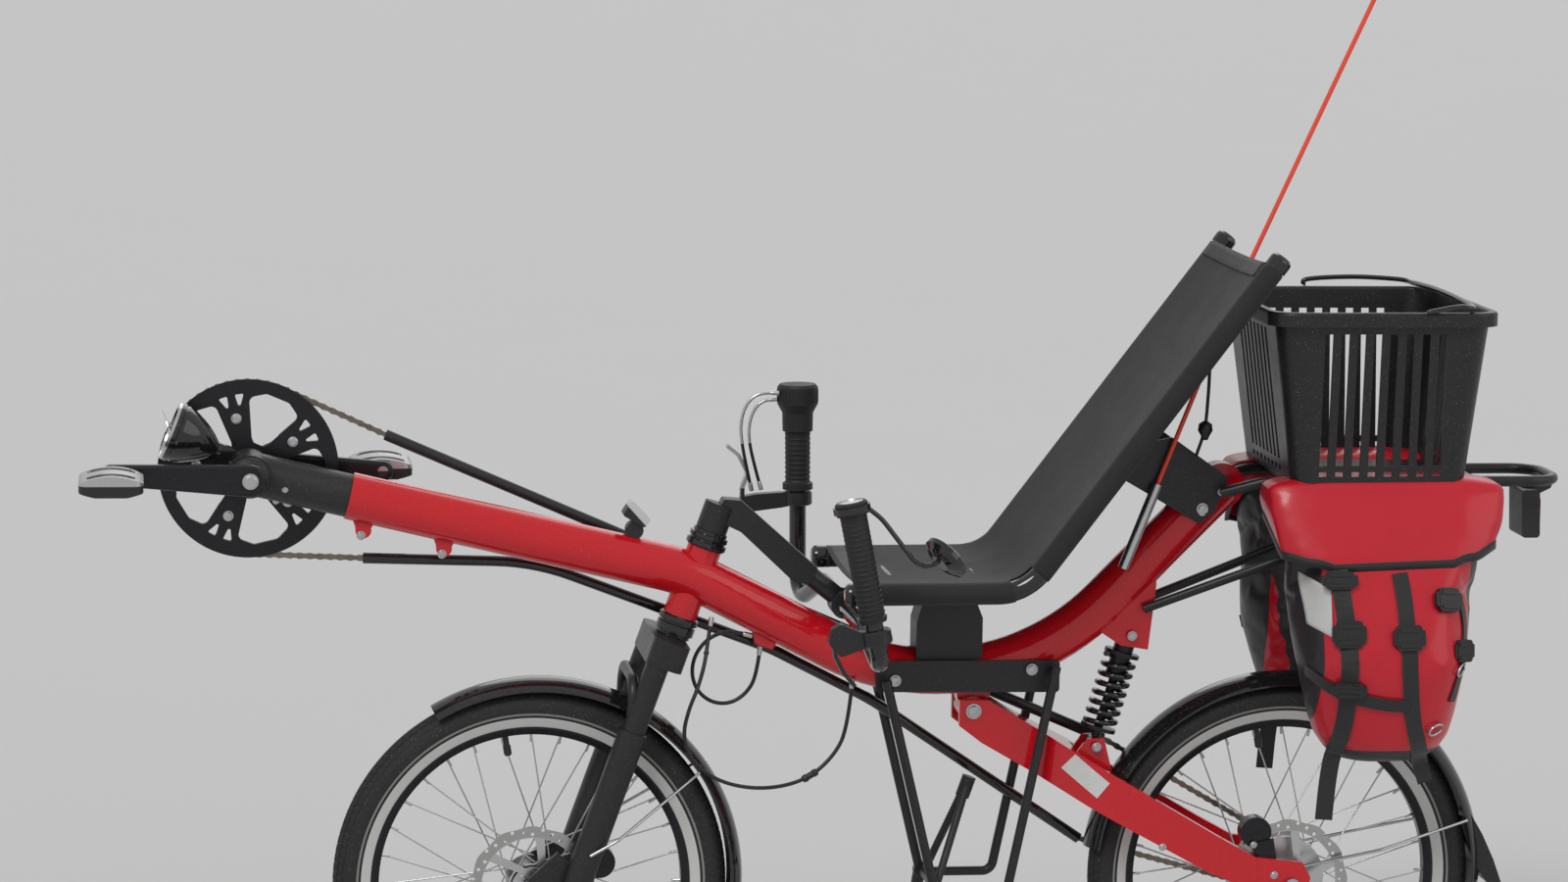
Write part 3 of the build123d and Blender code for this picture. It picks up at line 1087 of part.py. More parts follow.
# Cranks: each arm tapers to the pedal eye
crank_turn = radians(CRANK_TILT)
for crank_name, crank_side, turn in (("left_crank", -1, pi - crank_turn), ("right_crank", 1, -crank_turn)):
    tip_x, tip_z = CRANK_X + CRANK_L * cos(turn), CRANK_Z + CRANK_L * sin(turn)
    arm_y = crank_side * CRANK_Y
    with BuildPart() as crank:
        with BuildSketch(side(arm_y)) as arm:
            with Locations((CRANK_X, CRANK_Z)):
                Circle(20)
            with Locations((tip_x, tip_z)):
                Circle(13)
            make_hull()
        extrude(arm.sketch, amount=CRANK_T / 2, both=True)
        fillet(crank.edges(), CRANK_EDGE_R)
        if crank_side > 0:
            spindle_end = -(CRANK_Y - CRANK_T / 2 + SPINDLE_SEAT - SEAT_GAP)
            boss(CRANK_X, CRANK_Z, (CRANK_Y + spindle_end) / 2, SPINDLE_D, CRANK_Y - spindle_end)
            spider_in = CHAIN_Y + RING_T / 2 + SEAT_GAP
            boss(CRANK_X, CRANK_Z, (CRANK_Y + spider_in) / 2, 40, CRANK_Y - spider_in)
            for spider_arm in range(SPIDER_ARMS):
                direction = radians(SPIDER_TURN + 360 / SPIDER_ARMS * spider_arm)
                with BuildSketch(side(spider_in + SPIDER_T / 2)) as spider:
                    with Locations((CRANK_X, CRANK_Z)):
                        Circle(18)
                    bolt_x = CRANK_X + SPIDER_BOLT_R * cos(direction)
                    bolt_z = CRANK_Z + SPIDER_BOLT_R * sin(direction)
                    with Locations((bolt_x, bolt_z)):
                        Circle(9)
                    make_hull()
                extrude(spider.sketch, amount=SPIDER_T / 2, both=True)
        else:
            boss(CRANK_X, CRANK_Z, arm_y + CRANK_T / 2, SPINDLE_D + 2 * RUN, 2 * SPINDLE_SEAT, mode=Mode.SUBTRACT)
        boss(tip_x, tip_z, arm_y, 14 + 2 * RUN, 30, mode=Mode.SUBTRACT)
    crank.part.label = crank_name
    export_step(crank.part, f"parts/{crank_name}.step")

    pedal_name = crank_name.replace("crank", "pedal")
    inner_y = CRANK_Y + CRANK_T / 2 + 4
    with BuildPart() as pedal:
        with BuildSketch(Plane(origin=spot(tip_x, crank_side * (inner_y + PEDAL_L / 2 + 4), tip_z))) as cage:
            RectangleRounded(PEDAL_W, PEDAL_L, 12)
            RectangleRounded(PEDAL_W - 20, PEDAL_L - 20, 6, mode=Mode.SUBTRACT)
            Rectangle(PEDAL_W - 10, 34)
            for cage_edge in (-1, 1):
                with Locations((cage_edge * PEDAL_W / 2, 0)):
                    with GridLocations(1, PEDAL_L / 8, 1, 7):
                        Circle(PEDAL_L / 26, mode=Mode.SUBTRACT)
        extrude(cage.sketch, amount=PEDAL_T / 2, both=True)
        with BuildSketch(side(crank_side * (inner_y + PEDAL_L / 2 + 4))) as arch:
            with BuildLine():
                Polyline(
                    (tip_x - PEDAL_W / 2, tip_z + PEDAL_T / 2 - 9), (tip_x - PEDAL_W / 2, tip_z - PEDAL_T / 2 + 5),
                    (tip_x - PEDAL_W / 4, tip_z - PEDAL_T / 2), (tip_x + PEDAL_W / 4, tip_z - PEDAL_T / 2),
                    (tip_x + PEDAL_W / 2, tip_z - PEDAL_T / 2 + 5), (tip_x + PEDAL_W / 2, tip_z + PEDAL_T / 2 - 9),
                )
                ThreePointArc(
                    (tip_x + PEDAL_W / 2, tip_z + PEDAL_T / 2 - 9), (tip_x, tip_z + PEDAL_T / 2),
                    (tip_x - PEDAL_W / 2, tip_z + PEDAL_T / 2 - 9),
                )
            make_face()
        extrude(arch.sketch, amount=PEDAL_L / 2 + 1, both=True, mode=Mode.INTERSECT)
        boss(tip_x, tip_z, crank_side * (CRANK_Y + 52), 14, 104 + CRANK_T - 2)
    pedal.part.label = pedal_name
    export_step(pedal.part, f"parts/{pedal_name}.step")

# Chainring and guard ring: two plates with the same windows, joined by the spider's bolts
WINDOW = ((34, -15), (90, -22), (97, -9), (97, 9), (90, 22), (34, 15))
CORNER_WINDOW = ((75, 5), (95, 3), (95, 10))


def polar(radius, direction):
    """A point in the side view, from the crank axle."""
    return CRANK_X + radius * cos(radians(direction)), CRANK_Z + radius * sin(radians(direction))


def ring_windows():
    """Cuts the windows between and beside the spider's arms from the current sketch."""
    for ring_arm in range(SPIDER_ARMS):
        direction = SPIDER_TURN + 360 / SPIDER_ARMS * ring_arm
        between = direction + 180 / SPIDER_ARMS
        outlines = [([polar(radius, between + turn) for radius, turn in WINDOW], 8)]
        for mirrored in (-1, 1):
            outlines.append(([polar(radius, direction + mirrored * turn) for radius, turn in CORNER_WINDOW], 2))
        for corners, corner_r in outlines:
            with BuildLine() as window:
                FilletPolyline(*corners, radius=corner_r, close=True)
            make_face(window.edges(), mode=Mode.SUBTRACT)


with BuildPart() as chainring:
    with BuildSketch(side(CHAIN_Y)) as ring_face:
        sprocket_face(CRANK_X, CRANK_Z, RING_TEETH)
        ring_windows()
        with Locations((CRANK_X, CRANK_Z)):
            Circle(SPIDER_BOLT_R - 9, mode=Mode.SUBTRACT)
    extrude(ring_face.sketch, amount=RING_T / 2, both=True)
    with BuildSketch(side(GUARD_Y)) as guard_face:
        with Locations((CRANK_X, CRANK_Z)):
            Circle(GUARD_D / 2)
            Circle(SPINDLE_D / 2 + 2, mode=Mode.SUBTRACT)
        ring_windows()
    extrude(guard_face.sketch, amount=GUARD_T / 2, both=True)
    for ring_arm in range(SPIDER_ARMS):
        bolt_x, bolt_z = polar(SPIDER_BOLT_R, SPIDER_TURN + 360 / SPIDER_ARMS * ring_arm)
        boss(bolt_x, bolt_z, (GUARD_Y + CHAIN_Y) / 2, 13, CHAIN_Y - GUARD_Y + RING_T)
chainring.part.label = "chainring"
export_step(chainring.part, "parts/chainring.step")
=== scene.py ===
"""Recumbent bicycle: the finishes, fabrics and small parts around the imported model.

Everything is in metres in the model's own frame: the bicycle points towards -X, +Y is its right-hand
side, +Z is up and the floor is at Z = 0. Places are given in millimetres from the front axle's place on
the floor, as the drawing has them.
"""

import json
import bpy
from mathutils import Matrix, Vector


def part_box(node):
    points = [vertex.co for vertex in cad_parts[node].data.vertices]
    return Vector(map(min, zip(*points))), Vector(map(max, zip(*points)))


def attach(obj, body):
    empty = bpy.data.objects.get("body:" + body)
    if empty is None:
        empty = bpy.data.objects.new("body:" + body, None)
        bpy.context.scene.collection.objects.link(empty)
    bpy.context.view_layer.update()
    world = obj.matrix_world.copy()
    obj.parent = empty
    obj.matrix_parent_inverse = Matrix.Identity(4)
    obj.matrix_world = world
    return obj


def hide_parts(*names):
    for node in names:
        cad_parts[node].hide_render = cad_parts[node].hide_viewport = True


bl_info = {
    "name": "Recumbent Bicycle",
    "version": (1, 0),
    "blender": (4, 5, 0),
    "location": "3D View > Sidebar > Bicycle",
    "description": "Finishes and soft goods of a short-wheelbase recumbent bicycle",
    "category": "Object",
}

from math import acos, atan2, cos, hypot, pi, radians, sin, sqrt, tan

import bmesh
import bpy
from bpy.props import FloatProperty, FloatVectorProperty, IntProperty, PointerProperty
from bpy.types import Operator, Panel, PropertyGroup
from mathutils import Matrix, Vector, noise
from mathutils.bvhtree import BVHTree

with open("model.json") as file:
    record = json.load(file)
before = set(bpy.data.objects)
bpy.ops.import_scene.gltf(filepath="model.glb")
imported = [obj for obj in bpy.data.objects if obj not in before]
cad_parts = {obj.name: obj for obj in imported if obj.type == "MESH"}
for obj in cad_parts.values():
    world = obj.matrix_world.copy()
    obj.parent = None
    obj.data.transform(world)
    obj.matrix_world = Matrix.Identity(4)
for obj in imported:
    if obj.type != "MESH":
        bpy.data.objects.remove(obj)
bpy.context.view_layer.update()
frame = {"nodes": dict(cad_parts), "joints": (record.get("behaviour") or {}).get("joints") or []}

JOINT_PLACE = {joint["name"]: Vector(joint["pos_m"]) for joint in frame["joints"]}
FRONT_AXLE = JOINT_PLACE["front_wheel_spin"]
REAR_AXLE = JOINT_PLACE["rear_wheel_spin"]
CRANK_AXLE = JOINT_PLACE["crank_spin"]
WHEEL_R = FRONT_AXLE.z
MM = 0.001


def place(x, y, z):
    """A point given in millimetres from the front axle's place on the floor."""
    return Vector((FRONT_AXLE.x + x * MM, y * MM, z * MM))


def colour_property(name, rgb, description):
    return FloatVectorProperty(
        name=name, description=description, subtype="COLOR", size=3, min=0, max=1, default=rgb,
    )


def length_property(name, metres, description):
    return FloatProperty(
        name=name, description=description, unit="LENGTH", subtype="DISTANCE", default=metres,
    )


class BicycleColours(PropertyGroup):
    """The colours that a user would change."""
    frame_red: colour_property("Frame red", (0.60, 0.006, 0.014), "Gloss paint of the frame and swing arm")
    bag_red: colour_property("Bag red", (0.56, 0.008, 0.022), "Coated cloth of the panniers")
    bag_black: colour_property("Bag black", (0.020, 0.020, 0.023), "Side cloth of the panniers")
    seat_grey: colour_property("Seat grey", (0.030, 0.030, 0.032), "Woven cloth of the seat")
    flag_orange: colour_property("Flag orange", (0.90, 0.075, 0.035), "Flag pole and pennant")
    stripe_grey: colour_property("Tyre stripe", (0.62, 0.62, 0.60), "Reflective stripe on the tyre's side")


class BicycleSizes(PropertyGroup):
    """The sizes that a user would change."""
    weave: length_property("Seat weave", 0.0016, "Distance between two threads of the seat cloth")
    seat_sag: length_property("Seat sag", 0.009, "How far the seat cloth hangs down between the rails")
    stripe: length_property("Tyre stripe", 0.0125, "Width of the pale stripe on the tyre's side")
    tread_gap: length_property("Tread gap", 0.0011, "Depth of the grooves between the tyre's tread blocks")
    link_pitch: length_property("Chain pitch", 0.0127, "Distance between two rollers of the chain")
    tread_blocks: IntProperty(name="Tread blocks", description="Blocks round each row of tread", default=132)


def pattern(tree, kind, **settings):
    """Adds a node to a tree. Names of inputs are written with underscores for spaces."""
    node = tree.nodes.new(kind)
    for key, value in settings.items():
        socket = key.replace("_", " ")
        if socket in node.inputs:
            node.inputs[socket].default_value = value
        else:
            setattr(node, key, value)
    return node


def shade(colour, factor):
    """A lighter or darker colour with its alpha."""
    return tuple(min(1.0, channel * factor) for channel in colour[:3]) + (1.0,)


def finish(
    name, colour, rough, metal=0.0, coat=0.0, sheen=0.0, grain=(900.0, 0.02), blotch=(14.0, 0.12),
    rough_spread=0.06, stretch=(1, 1, 1), ior=1.45, dust=0.0, clear=0.0,
):
    """A material whose colour and roughness change in soft blotches, with a fine grain in its bump.
    grain is (scale, depth in mm), blotch is (scale, share of the colour) and dust is how much settles."""
    made = bpy.data.materials.new(name)
    made.use_nodes = True
    made.diffuse_color = (*colour[:3], 1.0)
    tree = made.node_tree
    surface = tree.nodes["Principled BSDF"]
    for socket, value in (
        ("Metallic", metal), ("Coat Weight", coat), ("Coat Roughness", 0.06), ("Sheen Weight", sheen),
        ("IOR", ior), ("Transmission Weight", clear),
    ):
        surface.inputs[socket].default_value = value
    where = pattern(tree, "ShaderNodeTexCoord")
    spread = pattern(tree, "ShaderNodeMapping", Scale=stretch)
    tree.links.new(where.outputs["Object"], spread.inputs["Vector"])

    patches = pattern(tree, "ShaderNodeTexNoise", Scale=blotch[0], Detail=4.0, Roughness=0.6)
    tree.links.new(where.outputs["Object"], patches.inputs["Vector"])
    base = mixed(tree, patches.outputs["Fac"], shade(colour, 1 - blotch[1]), shade(colour, 1 + blotch[1]))
    if dust:
        specks = pattern(tree, "ShaderNodeTexNoise", Scale=420.0, Detail=3.0, Roughness=0.7)
        tree.links.new(where.outputs["Object"], specks.inputs["Vector"])
        keep = pattern(tree, "ShaderNodeMapRange", From_Min=0.60, From_Max=0.74, To_Min=0.0, To_Max=dust)
        tree.links.new(specks.outputs["Fac"], keep.inputs["Value"])
        base = mixed(tree, keep.outputs["Result"], base, (0.36, 0.33, 0.28, 1.0))
    tree.links.new(base, surface.inputs["Base Color"])

    dull = pattern(
        tree, "ShaderNodeMapRange", From_Min=0.3, From_Max=0.7,
        To_Min=max(0.02, rough - rough_spread), To_Max=min(1.0, rough + rough_spread),
    )
    tree.links.new(patches.outputs["Fac"], dull.inputs["Value"])
    tree.links.new(dull.outputs["Result"], surface.inputs["Roughness"])

    fine = pattern(tree, "ShaderNodeTexNoise", Scale=grain[0], Detail=3.0)
    tree.links.new(spread.outputs["Vector"], fine.inputs["Vector"])
    relief = pattern(tree, "ShaderNodeBump", Strength=1.0, Distance=grain[1] * MM)
    tree.links.new(fine.outputs["Fac"], relief.inputs["Height"])
    tree.links.new(relief.outputs["Normal"], surface.inputs["Normal"])
    return made


def mixed(tree, share, first, second):
    """A colour between two, each a colour or another node's output."""
    mix = pattern(tree, "ShaderNodeMix", data_type="RGBA")
    tree.links.new(share, mix.inputs["Factor"])
    for key, colour in (("A", first), ("B", second)):
        if isinstance(colour, tuple):
            mix.inputs[key].default_value = colour
        else:
            tree.links.new(colour, mix.inputs[key])
    return mix.outputs["Result"]


def node_of(made, kind):
    """A material's first node of a kind."""
    return next(node for node in made.node_tree.nodes if node.type == kind)


def axle_distance(tree, centre):
    """The distance of a point from an axle that runs across the bicycle, as a node's output."""
    where = pattern(tree, "ShaderNodeTexCoord")
    shift = pattern(tree, "ShaderNodeVectorMath", operation="SUBTRACT")
    shift.inputs[1].default_value = centre
    flat = pattern(tree, "ShaderNodeVectorMath", operation="MULTIPLY")
    flat.inputs[1].default_value = (1, 0, 1)
    reach = pattern(tree, "ShaderNodeVectorMath", operation="LENGTH")
    tree.links.new(where.outputs["Object"], shift.inputs[0])
    tree.links.new(shift.outputs[0], flat.inputs[0])
    tree.links.new(flat.outputs[0], reach.inputs[0])
    return reach.outputs["Value"]


def plane_distance(tree, point, normal):
    """How far a point lies past a plane, as a node's output."""
    where = pattern(tree, "ShaderNodeTexCoord")
    shift = pattern(tree, "ShaderNodeVectorMath", operation="SUBTRACT")
    shift.inputs[1].default_value = point
    past = pattern(tree, "ShaderNodeVectorMath", operation="DOT_PRODUCT")
    past.inputs[1].default_value = Vector(normal).normalized()
    tree.links.new(where.outputs["Object"], shift.inputs[0])
    tree.links.new(shift.outputs[0], past.inputs[0])
    return past.outputs["Value"]


def step(tree, value, low, high, soft=0.0004):
    """1 where a value lies between low and high, 0 elsewhere, with a soft edge."""
    rise = pattern(tree, "ShaderNodeMapRange", From_Min=low - soft, From_Max=low + soft)
    fall = pattern(tree, "ShaderNodeMapRange", From_Min=high + soft, From_Max=high - soft)
    both = pattern(tree, "ShaderNodeMath", operation="MULTIPLY")
    tree.links.new(value, rise.inputs["Value"])
    tree.links.new(value, fall.inputs["Value"])
    tree.links.new(rise.outputs["Result"], both.inputs[0])
    tree.links.new(fall.outputs["Result"], both.inputs[1])
    return both.outputs[0]


def banded(made, value, bands, rough=None, metal=None):
    """Paints bands over a finish: each is (low, high, colour) of a value such as a distance."""
    tree = made.node_tree
    surface = node_of(made, "BSDF_PRINCIPLED")
    for low, high, colour in bands:
        mask = step(tree, value, low, high)
        for socket, target in (("Base Color", None), ("Roughness", rough), ("Metallic", metal)):
            if socket == "Base Color":
                base = surface.inputs[socket].links[0].from_socket
                tree.links.new(mixed(tree, mask, base, (*colour, 1.0)), surface.inputs[socket])
            elif target is not None:
                blend = pattern(tree, "ShaderNodeMix", data_type="FLOAT")
                tree.links.new(mask, blend.inputs["Factor"])
                links = surface.inputs[socket].links
                if links:
                    tree.links.new(links[0].from_socket, blend.inputs["A"])
                else:
                    blend.inputs["A"].default_value = surface.inputs[socket].default_value
                blend.inputs["B"].default_value = target
                tree.links.new(blend.outputs["Result"], surface.inputs[socket])
    return made


def ringed(made, centre, spacing=2600.0, depth=0.02):
    """Turns a finish's grain into fine rings about an axle, as a turned or brushed face has."""
    tree = made.node_tree
    relief = node_of(made, "BUMP")
    rings = pattern(tree, "ShaderNodeTexNoise", noise_dimensions="1D", Scale=spacing, Detail=2.0)
    tree.links.new(axle_distance(tree, centre), rings.inputs["W"])
    relief.inputs["Distance"].default_value = depth * MM
    tree.links.new(rings.outputs["Fac"], relief.inputs["Height"])
    return made


def woven(made, pitch, depth=0.25):
    """Adds a plain weave along the piece's UV map, whose unit is a metre, to a finish's bump, and painted
    shade in the hollows between its threads to its colour.
    """
    tree = made.node_tree
    relief = node_of(made, "BUMP")
    surface = node_of(made, "BSDF_PRINCIPLED")
    along = pattern(tree, "ShaderNodeUVMap", uv_map="cloth")
    threads = []
    for direction in ("X", "Y"):
        wave = pattern(
            tree, "ShaderNodeTexWave", bands_direction=direction, Scale=1 / pitch / 3.18, Distortion=0.6,
        )
        wave.inputs["Detail Scale"].default_value = 40.0
        tree.links.new(along.outputs["UV"], wave.inputs["Vector"])
        threads.append(wave)
    over = pattern(tree, "ShaderNodeMath", operation="MULTIPLY")
    tree.links.new(threads[0].outputs["Fac"], over.inputs[0])
    tree.links.new(threads[1].outputs["Fac"], over.inputs[1])
    tree.links.new(over.outputs[0], relief.inputs["Height"])
    relief.inputs["Distance"].default_value = depth * MM
    base = surface.inputs["Base Color"].links[0].from_socket
    # painted shade: the colour darkens towards near-black in the hollows between the threads
    shade_in_hollows = pattern(tree, "ShaderNodeMapRange", To_Min=0.55, To_Max=0.0)
    tree.links.new(over.outputs[0], shade_in_hollows.inputs["Value"])
    shaded = mixed(tree, shade_in_hollows.outputs["Result"], base, (0.004, 0.004, 0.004, 1.0))
    tree.links.new(shaded, surface.inputs["Base Color"])
    return made


def paint(node, *materials):
    """Gives a CAD node its finish."""
    slots = frame["nodes"][node].data.materials
    slots.clear()
    for made in materials:
        slots.append(made)


FINISHES = {}


def stuff(name):
    """A finish made once by make_finishes."""
    return FINISHES[name]


def piece(name, mesh, body, material=None, stands_for=()):
    """Puts a mesh into the scene as a piece of the bicycle that rides on a body."""
    made = bpy.data.objects.new(name, mesh)
    bpy.context.scene.collection.objects.link(made)
    if material is not None:
        mesh.materials.clear()
        mesh.materials.append(material)
    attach(made, body)
    if stands_for:
        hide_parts(*stands_for)
    return made


def mesh_of(shape, name="shape", smooth=True, outwards=True):
    """A mesh from a bmesh. Its normals point outwards, or the way that its faces were drawn."""
    if outwards:
        bmesh.ops.recalc_face_normals(shape, faces=shape.faces)
    else:
        shape.normal_update()
    mesh = bpy.data.meshes.new(name)
    shape.to_mesh(mesh)
    shape.free()
    if smooth:
        mesh.shade_smooth()
    else:
        mesh.shade_flat()
    return mesh


def put(name, data):
    """An object in the scene that isn't a piece: a light, the camera, the floor or a helper."""
    made = bpy.data.objects.new(name, data)
    bpy.context.scene.collection.objects.link(made)
    return made


def evaluated(made):
    """An object's mesh with its modifiers, or a curve's surface, as a plain mesh."""
    graph = bpy.context.evaluated_depsgraph_get()
    return bpy.data.meshes.new_from_object(made.evaluated_get(graph))


def thicken(made, thickness, offset=-1.0):
    """Gives a sheet its thickness: inwards, or half each way where the offset is 0."""
    modifier = made.modifiers.new("thickness", "SOLIDIFY")
    modifier.thickness = thickness
    modifier.offset = offset


def grid_faces(shape, rows):
    """Faces between rows of points."""
    for first, second in zip(rows, rows[1:]):
        for part in range(len(first) - 1):
            shape.faces.new((first[part], first[part + 1], second[part + 1], second[part]))


def skin(shape, rings, ends=True):
    """Faces between rings of points, and over the first and last ring."""
    for first, second in zip(rings, rings[1:]):
        count = len(first)
        for turn in range(count):
            after = (turn + 1) % count
            shape.faces.new((first[turn], first[after], second[after], second[turn]))
    if ends:
        shape.faces.new(reversed(rings[0]))
        shape.faces.new(rings[-1])


def sharpened(mesh, angle=35.0):
    """Smooth shading with sharp edges where two faces meet at more than an angle."""
    mesh.shade_smooth()
    mesh.set_sharp_from_angle(angle=radians(angle))
    return mesh


def turned(shape, origin, direction, profile, steps=24):
    """Adds a turned solid to a bmesh. The profile is (distance along the axis, radius) in metres."""
    frame_of = Vector(direction).to_track_quat("Z", "Y").to_matrix().to_4x4()
    frame_of.translation = Vector(origin)
    rings = []
    for distance, radius in profile:
        ring = []
        for turn in range(steps):
            angle = 2 * pi * turn / steps
            point = Vector((radius * cos(angle), radius * sin(angle), distance))
            ring.append(shape.verts.new(frame_of @ point))
        rings.append(ring)
    skin(shape, rings)
    return shape


def slab(shape, corners, thickness, matrix=Matrix()):
    """Adds a flat plate to a bmesh: its outline in the XY plane of a matrix, half its thickness each way."""
    sides = []
    for level in (-thickness / 2, thickness / 2):
        sides.append([shape.verts.new(matrix @ Vector((x, y, level))) for x, y in corners])
    count = len(corners)
    for turn in range(count):
        after = (turn + 1) % count
        shape.faces.new((sides[0][turn], sides[0][after], sides[1][after], sides[1][turn]))
    shape.faces.new(reversed(sides[0]))
    shape.faces.new(sides[1])
    return shape


def oriented(origin, x_way, normal):
    """A matrix whose X runs along x_way and whose Z is a normal."""
    z = Vector(normal).normalized()
    x = (Vector(x_way) - z * Vector(x_way).dot(z)).normalized()
    turned_by = Matrix((x, z.cross(x), z)).transposed().to_4x4()
    turned_by.translation = Vector(origin)
    return turned_by


def rounded(width, height, radius, steps=5):
    """The outline of a rectangle with round corners, centred on zero."""
    points = []
    for corner_x, corner_y, start in ((1, 1, 0), (-1, 1, 90), (-1, -1, 180), (1, -1, 270)):
        for part in range(steps + 1):
            angle = radians(start + 90 * part / steps)
            points.append((
                corner_x * (width / 2 - radius) + radius * cos(angle),
                corner_y * (height / 2 - radius) + radius * sin(angle),
            ))
    return points


def smooth_line(points, count):
    """Points along a smooth curve through a few given ones."""
    points = [Vector(point) for point in points]
    spare = [2 * points[0] - points[1], *points, 2 * points[-1] - points[-2]]
    line = []
    for sample in range(count):
        reach = sample / (count - 1) * (len(points) - 1)
        part = min(int(reach), len(points) - 2)
        t = reach - part
        a, b, c, d = spare[part:part + 4]
        square, cube = 2 * a - 5 * b + 4 * c - d, 3 * b - a - 3 * c + d
        line.append(0.5 * (2 * b + (c - a) * t + square * t * t + cube * t ** 3))
    return line


def strip(shape, line, facing, width, thickness):
    """Adds a flat strap to a bmesh, along points, with its face towards a direction or one for each point."""
    rings = []
    for spot, point in enumerate(line):
        before, after = line[max(0, spot - 1)], line[min(len(line) - 1, spot + 1)]
        along = (after - before).normalized()
        out = Vector(facing[spot] if isinstance(facing, list) else facing)
        out = (out - along * out.dot(along)).normalized()
        across = along.cross(out)
        rings.append([
            shape.verts.new(point + across * (a * width / 2) + out * (b * thickness / 2))
            for a, b in ((-1, -1), (1, -1), (1, 1), (-1, 1))
        ])
    skin(shape, rings)
    return shape


def tube(shape, line, radius, steps=8):
    """Adds a round bar to a bmesh along points."""
    rings = []
    side = Vector((0, 0, 1))
    for spot, point in enumerate(line):
        before, after = line[max(0, spot - 1)], line[min(len(line) - 1, spot + 1)]
        along = (after - before).normalized()
        if abs(side.dot(along)) > 0.98:
            side = Vector((0, 1, 0))
        side = (side - along * side.dot(along)).normalized()
        across = along.cross(side)
        angles = [2 * pi * turn / steps for turn in range(steps)]
        rings.append([
            shape.verts.new(point + side * (radius * cos(angle)) + across * (radius * sin(angle)))
            for angle in angles
        ])
    skin(shape, rings)
    return shape


def touch(node, start, way):
    """Where a ray from a point first meets a CAD node."""
    found, spot, _, _ = frame["nodes"][node].ray_cast(Vector(start), Vector(way).normalized())
    if not found:
        raise RuntimeError(f"nothing of {node} lies that way")
    return spot


def new_tree(name, inputs):
    """An empty geometry tree with named inputs, each (name, kind, default or None)."""
    tree = bpy.data.node_groups.new(name, "GeometryNodeTree")
    tree.interface.new_socket("Geometry", in_out="INPUT", socket_type="NodeSocketGeometry")
    for title, kind, default in inputs:
        socket = tree.interface.new_socket(title, in_out="INPUT", socket_type=f"NodeSocket{kind}")
        if default is not None:
            socket.default_value = default
    tree.interface.new_socket("Geometry", in_out="OUTPUT", socket_type="NodeSocketGeometry")
    return tree, tree.nodes.new("NodeGroupInput"), tree.nodes.new("NodeGroupOutput")


def copies(tree, given, points, rotation, scale=None):
    """Ends a tree: the input piece on every point, realized, with its finish."""
    source = pattern(tree, "GeometryNodeObjectInfo")
    on_points = pattern(tree, "GeometryNodeInstanceOnPoints")
    real = pattern(tree, "GeometryNodeRealizeInstances")
    coat = pattern(tree, "GeometryNodeSetMaterial")
    link = tree.links.new
    link(given.outputs["Piece"], source.inputs["Object"])
    link(points, on_points.inputs["Points"])
    link(source.outputs["Geometry"], on_points.inputs["Instance"])
    link(rotation, on_points.inputs["Rotation"])
    if scale is not None:
        link(scale, on_points.inputs["Scale"])
    link(on_points.outputs["Instances"], real.inputs["Geometry"])
    link(real.outputs["Geometry"], coat.inputs["Geometry"])
    link(given.outputs["Finish"], coat.inputs["Material"])
    return coat.outputs["Geometry"]


def aimed(tree, axis, vector, rotation=None, pivot="AUTO"):
    """A rotation that turns an axis towards a vector, which is a node's output."""
    node = pattern(tree, "FunctionNodeAlignRotationToVector", axis=axis, pivot_axis=pivot)
    tree.links.new(vector, node.inputs["Vector"])
    if rotation is not None:
        tree.links.new(rotation, node.inputs["Rotation"])
    return node.outputs["Rotation"]


def wheel_tree():
    """Copies of a piece round an axle across the bicycle: its X points outwards and its Z to the left."""
    tree, given, result = new_tree("round_an_axle", (
        ("Count", "Int", 12), ("Radius", "Float", 0.1), ("Centre", "Vector", (0, 0, 0)),
        ("Piece", "Object", None), ("Finish", "Material", None),
    ))
    link = tree.links.new
    ring = pattern(tree, "GeometryNodeMeshCircle")
    link(given.outputs["Count"], ring.inputs["Vertices"])
    link(given.outputs["Radius"], ring.inputs["Radius"])
    spot = pattern(tree, "GeometryNodeInputPosition")
    made = copies(tree, given, ring.outputs["Mesh"], aimed(tree, "X", spot.outputs["Position"], pivot="Z"))
    stand = pattern(tree, "GeometryNodeTransform", Rotation=(pi / 2, 0, 0))
    link(made, stand.inputs["Geometry"])
    link(given.outputs["Centre"], stand.inputs["Translation"])
    link(stand.outputs["Geometry"], result.inputs["Geometry"])
    return tree


def path_tree():
    """Copies of a piece along an edge path: its X follows the path and its Z points along Up."""
    tree, given, result = new_tree("along_a_path", (
        ("Spacing", "Float", 0.02), ("Up", "Vector", (0, 1, 0)), ("Piece", "Object", None),
        ("Finish", "Material", None),
    ))
    link = tree.links.new
    line = pattern(tree, "GeometryNodeMeshToCurve")
    even = pattern(tree, "GeometryNodeResampleCurve", mode="LENGTH")
    way = pattern(tree, "GeometryNodeInputTangent")
    link(given.outputs["Geometry"], line.inputs["Mesh"])
    link(line.outputs["Curve"], even.inputs["Curve"])
    link(given.outputs["Spacing"], even.inputs["Length"])
    upright = aimed(tree, "Z", given.outputs["Up"])
    along = aimed(tree, "X", way.outputs["Tangent"], upright)
    link(copies(tree, given, even.outputs["Curve"], along), result.inputs["Geometry"])
    return tree


def point_tree():
    """Copies of a piece on points, each turned and sized by the point's own aim and size."""
    tree, given, result = new_tree("on_points", (("Piece", "Object", None), ("Finish", "Material", None)))
    aim = pattern(tree, "GeometryNodeInputNamedAttribute", data_type="FLOAT_VECTOR", Name="aim")
    size = pattern(tree, "GeometryNodeInputNamedAttribute", data_type="FLOAT", Name="size")
    made = copies(
        tree, given, given.outputs["Geometry"], aimed(tree, "Z", aim.outputs["Attribute"]),
        size.outputs["Attribute"],
    )
    tree.links.new(made, result.inputs["Geometry"])
    return tree


